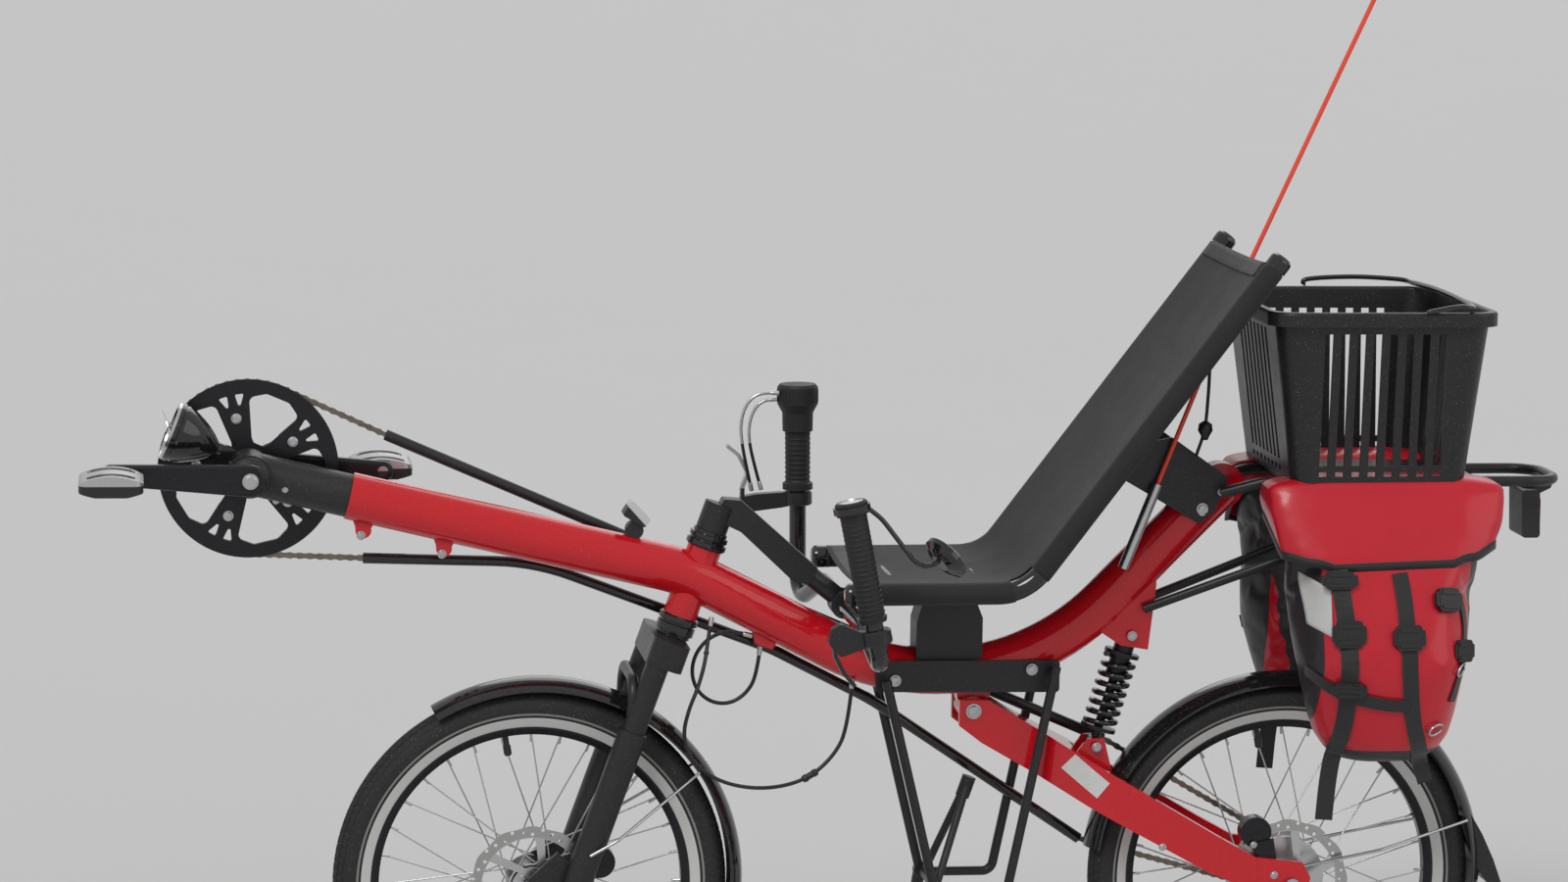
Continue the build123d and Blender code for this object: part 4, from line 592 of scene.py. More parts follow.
# small turned parts, each as (distance along its axis, radius) in metres
STITCH = ((0, 0.0002), (0.0006, 0.0005), (0.003, 0.0005), (0.0036, 0.0002))
BARREL = (
    (0, 0.0032), (0.001, 0.0045), (0.006, 0.0052), (0.007, 0.0042), (0.015, 0.0042), (0.016, 0.0050),
    (0.021, 0.0046), (0.022, 0.0030),
)
BARREL_BAND = ((0, 0.0034), (0.003, 0.0034))
NIPPLE = ((0, 0.0021), (0.001, 0.0021), (0.0016, 0.0018), (0.0105, 0.0017), (0.0115, 0.0012))
VALVE = (
    (-0.002, 0.0055), (0.0008, 0.0055), (0.001, 0.004), (0.012, 0.004), (0.013, 0.005), (0.024, 0.005),
    (0.026, 0.0035),
)
LEFT_CAP = ((0, 0.0150), (0.0028, 0.0150), (0.0032, 0.0140), (0.0018, 0.0132), (0.0012, 0.006))
RIGHT_CAP = ((0, 0.0185), (0.0012, 0.0185), (0.0016, 0.0175), (0.0006, 0.0168), (0.0004, 0.01))
MIRROR_GLASS = ((0, 0.0272), (0.0006, 0.0272), (0.0008, 0.0268))
HEADLIGHT_LENS = ((0, 0.031), (0.0010, 0.031), (0.0014, 0.020))
KNOT = ((0, 0.003), (0.004, 0.0085), (0.012, 0.0095), (0.018, 0.006), (0.024, 0.0035))
# a screw's head for a radius of 1, with its recess
SCREW_HEAD = ((0, 1.25), (0.14, 1.25), (0.16, 1.0), (0.62, 1.0), (0.74, 0.86), (0.74, 0.52), (0.40, 0.48))


TREES = {}


def repeated(kind, base, single, material, **inputs):
    """Runs a tree on a base mesh and returns its result as a plain mesh."""
    if kind not in TREES:
        TREES[kind] = {"wheel": wheel_tree, "path": path_tree, "point": point_tree}[kind]()
    carrier, sample = put("carrier", base), put("sample", single)
    modifier = carrier.modifiers.new("repeat", "NODES")
    modifier.node_group = TREES[kind]
    values = {"Piece": sample, "Finish": material, **inputs}
    for item in TREES[kind].interface.items_tree:
        if item.in_out == "INPUT" and item.name in values:
            modifier[item.identifier] = values[item.name]
    graph = bpy.context.evaluated_depsgraph_get()
    result = bpy.data.meshes.new_from_object(carrier.evaluated_get(graph), depsgraph=graph)
    for made in (carrier, sample):
        bpy.data.objects.remove(made)
    return result


def empty_mesh():
    return bpy.data.meshes.new("base")


def path_mesh(points):
    """A mesh of edges along points."""
    mesh = bpy.data.meshes.new("path")
    edges = [(spot, spot + 1) for spot in range(len(points) - 1)]
    mesh.from_pydata([tuple(point) for point in points], edges, [])
    return mesh


def point_mesh(rows):
    """A mesh of loose points with an aim and a size. Rows are (place, aim, size)."""
    mesh = bpy.data.meshes.new("points")
    mesh.from_pydata([tuple(row[0]) for row in rows], [], [])
    mesh.attributes.new("aim", "FLOAT_VECTOR", "POINT")
    mesh.attributes.new("size", "FLOAT", "POINT")
    mesh.attributes["aim"].data.foreach_set("vector", [channel for row in rows for channel in row[1]])
    mesh.attributes["size"].data.foreach_set("value", [row[2] for row in rows])
    return mesh


def joined(name, meshes):
    """One mesh from several, with their finishes kept."""
    shape = bmesh.new()
    slots = []
    for mesh in meshes:
        start = len(shape.faces)
        shape.from_mesh(mesh)
        shape.faces.ensure_lookup_table()
        own = list(mesh.materials)
        for material in own:
            if material not in slots:
                slots.append(material)
        for face in shape.faces[start:]:
            face.material_index = slots.index(own[face.material_index]) if own else 0
    result = bpy.data.meshes.new(name)
    shape.to_mesh(result)
    shape.free()
    for material in slots:
        result.materials.append(material)
    return result


class BICYCLE_OT_stage(Operator):
    """Make the floor, the soft lights and the camera at the photograph's view"""
    bl_idname = "bicycle.stage"
    bl_label = "Stage"

    def execute(self, context):
        make_camera()
        make_floor()
        make_lights()
        return {"FINISHED"}


CAMERA_AZIMUTH = radians(7.577)
CAMERA_PITCH = radians(7.553)
CAMERA_ROLL = radians(0.861)
CAMERA_AIM = (317.0, 0.0, 814.0)
CAMERA_DISTANCE = 6.219
CAMERA_FOCUS_PX = 5023.0
PHOTO_WIDTH_PX = 1600.0
SENSOR_WIDTH = 36.0


def make_camera():
    """The camera looks at the bicycle's left side, a little from the front and from above."""
    look = Vector((
        sin(CAMERA_AZIMUTH) * cos(CAMERA_PITCH), cos(CAMERA_AZIMUTH) * cos(CAMERA_PITCH), -sin(CAMERA_PITCH),
    ))
    level = Vector((cos(CAMERA_AZIMUTH), -sin(CAMERA_AZIMUTH), 0))
    upright = level.cross(look)
    right = level * cos(CAMERA_ROLL) + upright * sin(CAMERA_ROLL)
    up = upright * cos(CAMERA_ROLL) - level * sin(CAMERA_ROLL)
    data = bpy.data.cameras.new("camera")
    data.sensor_width = SENSOR_WIDTH
    data.lens = SENSOR_WIDTH * CAMERA_FOCUS_PX / PHOTO_WIDTH_PX
    data.clip_end = 300
    camera = put("camera", data)
    turned_by = Matrix((right, up, -look)).transposed().to_4x4()
    turned_by.translation = place(*CAMERA_AIM) - look * CAMERA_DISTANCE
    camera.matrix_world = turned_by
    bpy.context.scene.camera = camera


FLOOR_GREY = (0.66, 0.655, 0.64)
FLOOR_HALF = 150.0


def make_floor():
    """A wide pale floor that fills the camera's view."""
    mesh = bpy.data.meshes.new("floor")
    half = FLOOR_HALF
    corners = [(-half, -half, 0), (half, -half, 0), (half, half, 0), (-half, half, 0)]
    mesh.from_pydata(corners, [], [(0, 1, 2, 3)])
    floor = put("floor", mesh)
    mesh.materials.append(finish("floor_paper", FLOOR_GREY, 0.9, grain=(60.0, 0.1), blotch=(1.5, 0.008)))


SKY_COLOUR = (0.94, 0.96, 1.0, 1.0)
SKY_STRENGTH = 0.42
# what the camera, glass and gloss see behind the bicycle: as light as the floor, so that no horizon shows
SEEN_COLOUR = (0.565, 0.565, 0.56, 1.0)
# name, the way it comes from, strength, width of its disc in degrees
SUNS = (
    ("key", (-0.45, -0.75, 0.9), 1.15, 22.0),
    ("fill", (0.9, -0.7, 0.5), 0.40, 45.0),
    ("back", (0.3, 1.0, 0.8), 0.50, 45.0),
)


def make_lights():
    """Broad soft suns from the front left, the rear left and behind, under an even sky."""
    scene = bpy.context.scene
    scene.view_settings.view_transform = "Standard"
    world = bpy.data.worlds.new("studio")
    scene.world = world
    world.use_nodes = True
    tree = world.node_tree
    sky = tree.nodes["Background"]
    sky.inputs["Color"].default_value = SKY_COLOUR
    sky.inputs["Strength"].default_value = SKY_STRENGTH
    seen = pattern(tree, "ShaderNodeBackground", Color=SEEN_COLOUR, Strength=1.0)
    ray = pattern(tree, "ShaderNodeLightPath")
    shown = pattern(tree, "ShaderNodeMath", operation="MAXIMUM")
    through = pattern(tree, "ShaderNodeMath", operation="MAXIMUM")
    choose = pattern(tree, "ShaderNodeMixShader")
    tree.links.new(ray.outputs["Is Camera Ray"], shown.inputs[0])
    tree.links.new(ray.outputs["Is Transmission Ray"], shown.inputs[1])
    tree.links.new(shown.outputs[0], through.inputs[0])
    tree.links.new(ray.outputs["Is Glossy Ray"], through.inputs[1])
    tree.links.new(through.outputs[0], choose.inputs["Fac"])
    tree.links.new(sky.outputs[0], choose.inputs[1])
    tree.links.new(seen.outputs[0], choose.inputs[2])
    tree.links.new(choose.outputs[0], tree.nodes["World Output"].inputs["Surface"])
    for name, start, power, width in SUNS:
        lamp = bpy.data.lights.new(name, "SUN")
        lamp.energy = power
        lamp.angle = radians(width)
        held = put(name, lamp)
        held.rotation_euler = (-Vector(start)).to_track_quat("-Z", "Y").to_euler()


class BICYCLE_OT_finishes(Operator):
    """Give every rigid piece of the model its paint, plastic, rubber or metal"""
    bl_idname = "bicycle.finishes"
    bl_label = "Finishes"

    def execute(self, context):
        make_finishes(context.scene.bicycle_colours)
        for name, nodes in NODE_FINISHES.items():
            for node in nodes:
                paint(node, stuff(name))
        paint_two_tone()
        return {"FINISHED"}


def make_finishes(colours):
    """Makes each finish once. Its name is what the real surface is."""
    red, orange, grey = tuple(colours.frame_red), tuple(colours.flag_orange), tuple(colours.seat_grey)
    # name, colour, roughness, then what differs from a plain finish
    for name, colour, rough, extra in (
        ("frame_paint", red, 0.15, dict(
            coat=0.3, grain=(160.0, 0.01), blotch=(5.0, 0.06), rough_spread=0.03, dust=0.2,
        )),
        ("satin_black", (0.016, 0.016, 0.018), 0.36, dict(grain=(1300.0, 0.03), dust=0.22)),
        ("boom_black", (0.018, 0.018, 0.019), 0.42, dict(grain=(1500.0, 0.05), dust=0.25)),
        ("black_anodised", (0.024, 0.024, 0.027), 0.28, dict(metal=0.6, grain=(2200.0, 0.01), dust=0.15)),
        ("black_plastic", (0.017, 0.017, 0.018), 0.40, dict(
            grain=(1500.0, 0.04), blotch=(10.0, 0.2), dust=0.2,
        )),
        ("basket_plastic", (0.014, 0.014, 0.016), 0.36, dict(
            grain=(1100.0, 0.06), blotch=(12.0, 0.2), dust=0.35,
        )),
        ("hose_rubber", (0.014, 0.014, 0.015), 0.38, dict(grain=(900.0, 0.04), dust=0.2)),
        ("gloss_black", (0.010, 0.010, 0.011), 0.10, dict(coat=0.5, grain=(300.0, 0.008), dust=0.3)),
        ("grip_rubber", (0.014, 0.014, 0.015), 0.55, dict(grain=(700.0, 0.15), dust=0.1)),
        ("bright_steel", (0.52, 0.52, 0.53), 0.26, dict(
            metal=1.0, grain=(1800.0, 0.02), stretch=(1, 1, 0.1),
        )),
        ("chain_steel", (0.22, 0.19, 0.16), 0.38, dict(
            metal=1.0, grain=(1500.0, 0.05), blotch=(60.0, 0.5), dust=0.3,
        )),
        ("polished_hub", (0.66, 0.66, 0.67), 0.12, dict(metal=1.0, grain=(800.0, 0.005))),
        ("satin_silver", (0.58, 0.58, 0.59), 0.30, dict(
            metal=1.0, grain=(1600.0, 0.02), blotch=(40.0, 0.1),
        )),
        ("tyre_rubber", (0.017, 0.017, 0.018), 0.72, dict(
            grain=(900.0, 0.1), blotch=(20.0, 0.25), dust=0.35,
        )),
        ("flag_rod", orange, 0.3, dict(coat=0.3, grain=(400.0, 0.02), blotch=(30.0, 0.08))),
        ("seat_cloth", tuple(0.7 * channel for channel in grey), 0.75, dict(
            sheen=0.08, blotch=(18.0, 0.18), dust=0.15,
        )),
        ("seat_sleeve", tuple(0.6 * channel for channel in grey), 0.6, dict(
            sheen=0.08, grain=(800.0, 0.2), dust=0.35,
        )),
        ("flag_cloth", orange, 0.6, dict(sheen=0.3, blotch=(9.0, 0.08))),
        ("webbing", (0.014, 0.014, 0.015), 0.62, dict(sheen=0.2, grain=(1400.0, 0.2))),
        ("bag_red", tuple(colours.bag_red), 0.30, dict(coat=0.15, grain=(900.0, 0.05), blotch=(7.0, 0.10))),
        ("reflective", tuple(colours.stripe_grey), 0.45, dict(grain=(1600.0, 0.03), blotch=(30.0, 0.06))),
        ("lamp_silver", (0.74, 0.74, 0.76), 0.12, dict(metal=1.0, grain=(200.0, 0.1))),
        ("rear_lens", (0.55, 0.006, 0.01), 0.12, dict(coat=0.4, clear=0.25, grain=(300.0, 0.02))),
        ("mirror_glass", (0.80, 0.83, 0.86), 0.04, dict(metal=1.0, grain=(300.0, 0.002), blotch=(9.0, 0.03))),
        ("blank_label", (0.66, 0.66, 0.64), 0.45, dict(grain=(800.0, 0.03), blotch=(50.0, 0.1))),
        ("seam_thread", (0.05, 0.05, 0.052), 0.7, dict(grain=(2000.0, 0.1))),
        ("shifter_pipe", (0.014, 0.014, 0.015), 0.3, dict(grain=(900.0, 0.02))),
    ):
        FINISHES[name] = finish(name, colour, rough, **extra)


NODE_FINISHES = {
    "frame_paint": ("main_frame", "swing_arm"),
    "boom_black": ("boom", "seat_back_bracket"),
    "satin_black": (
        "side_plates", "rack", "carrier_hoops", "fork", "stand", "stem", "left_brake_lever",
    ),
    "black_anodised": (
        "shock_body", "rear_caliper", "front_caliper", "front_rim", "rear_rim", "left_crank",
        "right_crank", "chainring",
    ),
    "gloss_black": (
        "headlight", "chain_return_tube", "shock_spring", "rear_mudguard", "front_mudguard", "mirror",
        "headset", "handlebar", "seat_frame",
    ),
    "black_plastic": ("tube_lamp", "chain_upper_tube", "seat_base", "tail_light"),
    "basket_plastic": ("basket",),
    "grip_rubber": ("left_grip", "right_grip"),
    "bright_steel": (
        "rear_mudguard_stays", "front_mudguard_stays", "rear_axle", "front_axle", "front_spokes",
        "rear_spokes",
    ),
    "polished_hub": ("front_hub",),
    "satin_silver": ("rear_hub", "flag_socket", "left_pedal", "right_pedal", "right_brake_lever"),
    "flag_rod": ("flag_pole",),
}


def band_copy(name, base, value_of, bands, rough=None, metal=None):
    """A copy of a finish with bands of another colour along a value that a function builds in its tree."""
    made = stuff(base).copy()
    made.name = name
    FINISHES[name] = made
    return banded(made, value_of(made.node_tree), bands, rough, metal)


SILVER = (0.60, 0.60, 0.61)
DARK = (0.02, 0.02, 0.022)
LAMP_CENTRE = place(-448, -4, 828)
LAMP_DROOP = radians(22)


def paint_two_tone():
    """Pieces that show two finishes on one solid, and the turned faces of cranks and rims."""
    bright = dict(rough=0.22, metal=1.0)
    paint("headlight", band_copy(
        "headlight_shell", "gloss_black",
        lambda tree: plane_distance(tree, LAMP_CENTRE, (cos(LAMP_DROOP), 0, -sin(LAMP_DROOP))),
        ((-0.0065, -0.0025, SILVER),), **bright,
    ))
    paint("right_brake_lever", band_copy(
        "lever_two_tone", "satin_silver", lambda tree: plane_distance(tree, place(0, 0, 714), (0, 0, -1)),
        ((0.0, 0.2, DARK),), rough=0.35, metal=0.0,
    ))
    band_copy(
        "shifter_pipe", "shifter_pipe", lambda tree: plane_distance(tree, place(0, 0, 774), (0, 0, 1)),
        ((0.0, 0.2, SILVER),), **bright,
    )
    for node in ("left_pedal", "right_pedal"):
        low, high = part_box(node)
        middle = (low + high) / 2
        paint(node, band_copy(
            f"{node}_cage", "satin_silver", lambda tree: plane_distance(tree, middle, (0, 0, -1)),
            ((-0.001, 0.1, DARK),), rough=0.4, metal=0.0,
        ))
    for node in ("left_crank", "right_crank"):
        paint(node, ringed(band_copy(
            f"{node}_arm", "black_anodised", lambda tree: axle_distance(tree, CRANK_AXLE),
            ((0.0, 0.0065, SILVER),), **bright,
        ), CRANK_AXLE, depth=0.002))
    for node, centre in (("front_rim", FRONT_AXLE), ("rear_rim", REAR_AXLE)):
        made = stuff("black_anodised").copy()
        made.name = f"{node}_wall"
        paint(node, ringed(made, centre, depth=0.004))
    paint("tube_lamp", band_copy(
        "tube_lamp_two_tone", "black_plastic",
        lambda tree: plane_distance(tree, place(130, 0, 716), (0.74, 0, 0.67)),
        ((0.0035, 0.1, (0.62, 0.62, 0.64)),), rough=0.18, metal=0.2,
    ))


SEAT_FRONT = (382.0, 642.0)
SEAT_BEND = (603.0, 643.0)
SEAT_TOP = (915.0, 1058.0)
SEAT_BEND_R = 70.0
SEAT_HALF_W = 155.0
BARE_BEND = 20.0
HEM_ROWS = 4
STITCH_SPACING = 0.0055
SEAM_IN = 21.0
CLOTH_R = 13.6
CAP_ROOM = 14.0


def bent_line(points, bend_r, pitch):
    """A line with round corners through (x, z) points: each result is (x, z, direction, distance)."""
    (ax, az), (bx, bz), (cx, cz) = points
    first, second = atan2(bz - az, bx - ax), atan2(cz - bz, cx - bx)
    turn = second - first
    cut = bend_r * tan(turn / 2)
    straight = hypot(bx - ax, bz - az) - cut
    curve = bend_r * turn
    total = straight + curve + hypot(cx - bx, cz - bz) - cut
    result = []
    count = round(total / pitch)
    for sample in range(count + 1):
        reach = total * sample / count
        if reach < straight:
            result.append((ax + reach * cos(first), az + reach * sin(first), first, reach))
        elif reach < straight + curve:
            angle = first + (reach - straight) / bend_r
            x0, z0 = bx - cut * cos(first), bz - cut * sin(first)
            result.append((
                x0 + bend_r * (sin(angle) - sin(first)), z0 - bend_r * (cos(angle) - cos(first)), angle, reach,
            ))
        else:
            past = reach - straight - curve + cut
            result.append((bx + past * cos(second), bz + past * sin(second), second, reach))
    return result


class BICYCLE_OT_seat(Operator):
    """Make the seat cloth with its sleeves round the rails, its hems and its stitching"""
    bl_idname = "bicycle.seat"
    bl_label = "Seat"

    def execute(self, context):
        sizes = context.scene.bicycle_sizes
        way = Vector((SEAT_BEND[0] - SEAT_FRONT[0], SEAT_BEND[1] - SEAT_FRONT[1])).normalized()
        back = Vector((SEAT_TOP[0] - SEAT_BEND[0], SEAT_TOP[1] - SEAT_BEND[1])).normalized()
        front = (SEAT_FRONT[0] + way.x * CAP_ROOM, SEAT_FRONT[1] + way.y * CAP_ROOM)
        top = (SEAT_TOP[0] - back.x * CAP_ROOM, SEAT_TOP[1] - back.y * CAP_ROOM)
        line = bent_line((front, SEAT_BEND, top), SEAT_BEND_R, 5.0)
        section = seat_section(sizes.seat_sag / MM)
        shape = bmesh.new()
        cloth = shape.loops.layers.uv.new("cloth")
        rows = []
        for x, z, direction, reach in line:
            rows.append([shape.verts.new(seat_point(x, z, direction, y, up)) for y, up, _ in section])
        bend_at = hypot(SEAT_BEND[0] - front[0], SEAT_BEND[1] - front[1])
        for row in range(len(rows) - 1):
            bare = abs(line[row][3] - bend_at) < BARE_BEND
            for part in range(len(section) - 1):
                if bare and abs(section[part][0]) > SEAT_HALF_W - 4:
                    continue
                corners = ((row, part), (row, part + 1), (row + 1, part + 1), (row + 1, part))
                face = shape.faces.new([rows[at_row][at_part] for at_row, at_part in corners])
                for loop, (at_row, at_part) in zip(face.loops, corners):
                    loop[cloth].uv = (section[at_part][2] * MM, line[at_row][3] * MM)
        seat = piece(
            "seat_cloth", mesh_of(shape, "seat_cloth", outwards=False), "frame",
            woven(stuff("seat_cloth"), sizes.weave), ("seat_sling",),
        )
        thicken(seat, 0.001, 0)

        ends = bmesh.new()
        stitch_rows = []
        flat = [(y, up) for y, up, _ in section if abs(y) < SEAT_HALF_W - 1]
        for start, end in ((0, HEM_ROWS), (len(line) - 1 - HEM_ROWS, len(line) - 1)):
            bands = []
            for at in range(start, end + 1):
                x, z, direction, _ = line[at]
                bands.append([ends.verts.new(seat_point(x, z, direction, y, up + 1.3)) for y, up in flat])
            grid_faces(ends, bands)
            x, z, direction, _ = line[start + 3 if start == 0 else end - 3]
            stitch_rows.append([seat_point(x, z, direction, y, up + 2.0) for y, up in flat])
            x, z, direction, _ = line[0 if start == 0 else end]
            bulge = [seat_point(x, z, direction, y, up + 0.2) for y, up in flat]
            tube(ends, bulge, 0.0022, 8)
        hem_mesh = mesh_of(ends, "seat_hems", outwards=False)
        hems = piece("seat_hems", hem_mesh, "frame", stuff("seat_sleeve"))
        thicken(hems, 0.0012)

        for y in (-SEAT_HALF_W + SEAM_IN, SEAT_HALF_W - SEAM_IN):
            up = min(section, key=lambda row: abs(row[0] - y))[1]
            stitch_rows.append([seat_point(x, z, direction, y, up + 0.8) for x, z, direction, _ in line])
        stitch = mesh_of(turned(bmesh.new(), (-STITCH[-1][0] / 2, 0, 0), (1, 0, 0), STITCH, 6))
        stitches = joined("seat_stitches", [
            repeated(
                "path", path_mesh(row), stitch.copy(), stuff("seam_thread"), Spacing=STITCH_SPACING,
                Up=(0, 0, 1),
            )
            for row in stitch_rows
        ])
        thread = piece("seat_stitches", stitches, "frame")
        return {"FINISHED"}


def seat_point(x, z, direction, y, up):
    """A point at a height over the rails' line, across the bicycle by y."""
    return place(x - up * sin(direction), y, z + up * cos(direction))


def seat_section(sag):
    """Across the seat: (y, height over the rail's centre, distance along the cloth)."""
    half = []
    for part in range(19):
        y = SEAT_HALF_W * part / 18
        half.append((y, CLOTH_R - sag * (1 - (part / 18) ** 2)))
    for part in range(1, 15):
        angle = radians(90 - 16 * part)
        half.append((SEAT_HALF_W + CLOTH_R * cos(angle), CLOTH_R * sin(angle)))
    half.append((SEAT_HALF_W - 16, CLOTH_R - 13))
    half.append((SEAT_HALF_W - 21, CLOTH_R - 2.5 - sag * 0.2))
    reach, both = 0.0, []
    for spot, (y, up) in enumerate(half):
        if spot:
            reach += hypot(y - half[spot - 1][0], up - half[spot - 1][1])
        both.append((y, up, reach))
    return [(-y, up, -reach) for y, up, reach in reversed(both[1:])] + both


BAG_IN_Y = 67.3
# height, front x, rear x, outer y
BAG_SECTIONS = ((424.0, 985.0, 1150.0, 205.0), (560.0, 950.0, 1168.0, 240.0), (772.3, 915.0, 1216.0, 150.0))
BAG_SWELL = 0.012
BAG_FRAMES = 20
BAG_LEVELS = (430, 436, 448, 466, 490, 520, 560, 600, 640, 680, 715, 742, 758, 766)


def bag_size(height):
    """Front x, rear x and outer y of a bag at a height."""
    lower = BAG_SECTIONS[0] if height < BAG_SECTIONS[1][0] else BAG_SECTIONS[1]
    upper = BAG_SECTIONS[1] if height < BAG_SECTIONS[1][0] else BAG_SECTIONS[2]
    share = (height - lower[0]) / (upper[0] - lower[0])
    return tuple(lower[part] + share * (upper[part] - lower[part]) for part in (1, 2, 3))


def bag_ring(shape, height, inset, corner, side=-1, lift=0.0):
    """A ring of points round a bag at a height."""
    front_x, rear_x, out_y = bag_size(height)
    width, depth = rear_x - front_x - 2 * inset, out_y - BAG_IN_Y - inset - max(inset, 0)
    middle_x, middle_y = (front_x + rear_x) / 2, (BAG_IN_Y + max(inset, 0) * 0.4 + out_y - inset) / 2
    return [
        shape.verts.new(place(middle_x + x, side * (middle_y + y), height + lift))
        for x, y in rounded(width, depth, min(corner, depth / 2 - 1), 7)
    ]


def make_bag():
    """The near bag as a cloth shell, blown up a little and creased, as one mesh."""
    shape = bmesh.new()
    rings = []
    for height in BAG_LEVELS:
        low = max(0.0, 1 - (height - BAG_LEVELS[0]) / 50)
        high = max(0.0, 1 - (BAG_LEVELS[-1] - height) / 26)
        inset = 8 + 34 * (1 - sqrt(1 - low ** 2)) + 22 * (1 - sqrt(1 - high ** 2))
        rings.append(bag_ring(shape, height, inset, 60))
    skin(shape, rings)
    bag = put("bag_form", mesh_of(shape, "bag"))
    bpy.context.view_layer.objects.active = bag
    remesh = bag.modifiers.new("remesh", "REMESH")
    remesh.mode = "VOXEL"
    remesh.voxel_size = 0.0075
    even = evaluated(bag)
    bag.modifiers.clear()
    bag.data = even
    start = [vertex.co.copy() for vertex in even.vertices]
    simulate(bag, start)
    soft = bag.modifiers.new("soft", "SUBSURF")
    soft.levels = soft.render_levels = 1
    result = evaluated(bag)
    bpy.data.objects.remove(bag)
    result.shade_smooth()
    return result


def simulate(bag, start):
    """Runs the cloth for a few frames, keeps each point near its start and off the rack."""
    held = bag.vertex_groups.new(name="held")
    inner = -(BAG_IN_Y + 12) * MM
    for spot, point in enumerate(start):
        if point.y > inner:
            held.add([spot], 1.0, "REPLACE")
    cloth = bag.modifiers.new("cloth", "CLOTH")
    settings = cloth.settings
    settings.vertex_group_mass = "held"
    settings.use_pressure = True
    settings.uniform_pressure_force = 4.0
    settings.shrink_min = -0.045
    settings.bending_stiffness = 0.4
    settings.effector_weights.gravity = 0.0
    settings.quality = 6
    cloth.point_cache.frame_start = 1
    cloth.point_cache.frame_end = BAG_FRAMES
    scene = bpy.context.scene
    for step_frame in range(1, BAG_FRAMES + 1):
        scene.frame_set(step_frame)
        graph = bpy.context.evaluated_depsgraph_get()
    result = bpy.data.meshes.new_from_object(bag.evaluated_get(graph))
    bag.modifiers.clear()
    scene.frame_set(1)
    for vertex, origin in zip(result.vertices, start):
        moved = vertex.co - origin
        if moved.length > BAG_SWELL:
            vertex.co = origin + moved * (BAG_SWELL / moved.length)
        vertex.co.y = min(vertex.co.y, -(BAG_IN_Y + 0.5) * MM)
    bag.data = result


# the lid's lower edge on its outer side: share of the length from the front, height
LID_LOW = ((0.0, 690.0), (0.12, 684.0), (0.35, 668.0), (0.65, 672.0), (0.88, 690.0), (1.0, 702.0))
LID_TOP = 771.0
LID_CROWN = 17.0
LID_WALL = 0.6
LID_LEVELS = 26
LID_INNER_RISE = 70.0


def make_lid():
    """The near bag's lid: a dome over its top that comes down low on the outer side."""
    shape = bmesh.new()
    outline = rounded(1.0, 1.0, 0.22, 14)
    rings = []
    for level in range(LID_LEVELS):
        share = level / LID_LEVELS
        ring = []
        for x, y in outline:
            along, out = x + 0.5, y + 0.5
            low = low_edge(along) + max(0.0, 0.8 - out) * LID_INNER_RISE
            if share < LID_WALL:
                height, reach, crown, edge = low + (LID_TOP - low) * share / LID_WALL, 1.0, 0.0, 5.0
            else:
                turn = (share - LID_WALL) / (1 - LID_WALL) * pi / 2
                height, reach, crown, edge = LID_TOP, cos(turn), LID_CROWN * sin(turn), 3.0
            front_x, rear_x, out_y = bag_size(height)
            middle_x, middle_y = (front_x + rear_x) / 2, (BAG_IN_Y + out_y) / 2 + 1.0
            half_x, half_y = (rear_x - front_x) / 2 + edge - 3, (out_y - BAG_IN_Y) / 2 + edge - 4
            point = Vector((
                middle_x + 2 * x * half_x * reach, middle_y + 2 * y * half_y * reach, height + crown,
            ))
            crease = noise.noise(Vector((point.x * 0.011, point.y * 0.03, point.z * 0.024))) * 4.5
            crease += noise.noise(Vector((point.x * 0.04 + 9, point.y * 0.04, point.z * 0.05))) * 1.6
            swell = 1.0
            if reach > 0.35:
                bulge = crease + 3.5 * sin(pi * min(1, share / LID_WALL))
                swell += bulge / hypot(point.x - middle_x, point.y - middle_y + 0.1)
            x_at = middle_x + (point.x - middle_x) * swell
            y_at = max(BAG_IN_Y + 1.5, middle_y + (point.y - middle_y) * swell)
            fold = crease * 0.35 if share > LID_WALL else 0.0
            ring.append(shape.verts.new(place(x_at, -y_at, point.z + fold)))
        rings.append(ring)
    skin(shape, rings, ends=False)
    shape.faces.new(rings[-1])
    edge = [vertex.co.copy() for vertex in rings[0]]
    return mesh_of(shape, "lid"), edge


def low_edge(along):
    """The height of the lid's lower edge at a share of its length."""
    for (first, low), (second, high) in zip(LID_LOW, LID_LOW[1:]):
        if along <= second:
            share = (along - first) / (second - first)
            share = share * share * (3 - 2 * share)
            return low + (high - low) * share
    return LID_LOW[-1][1]


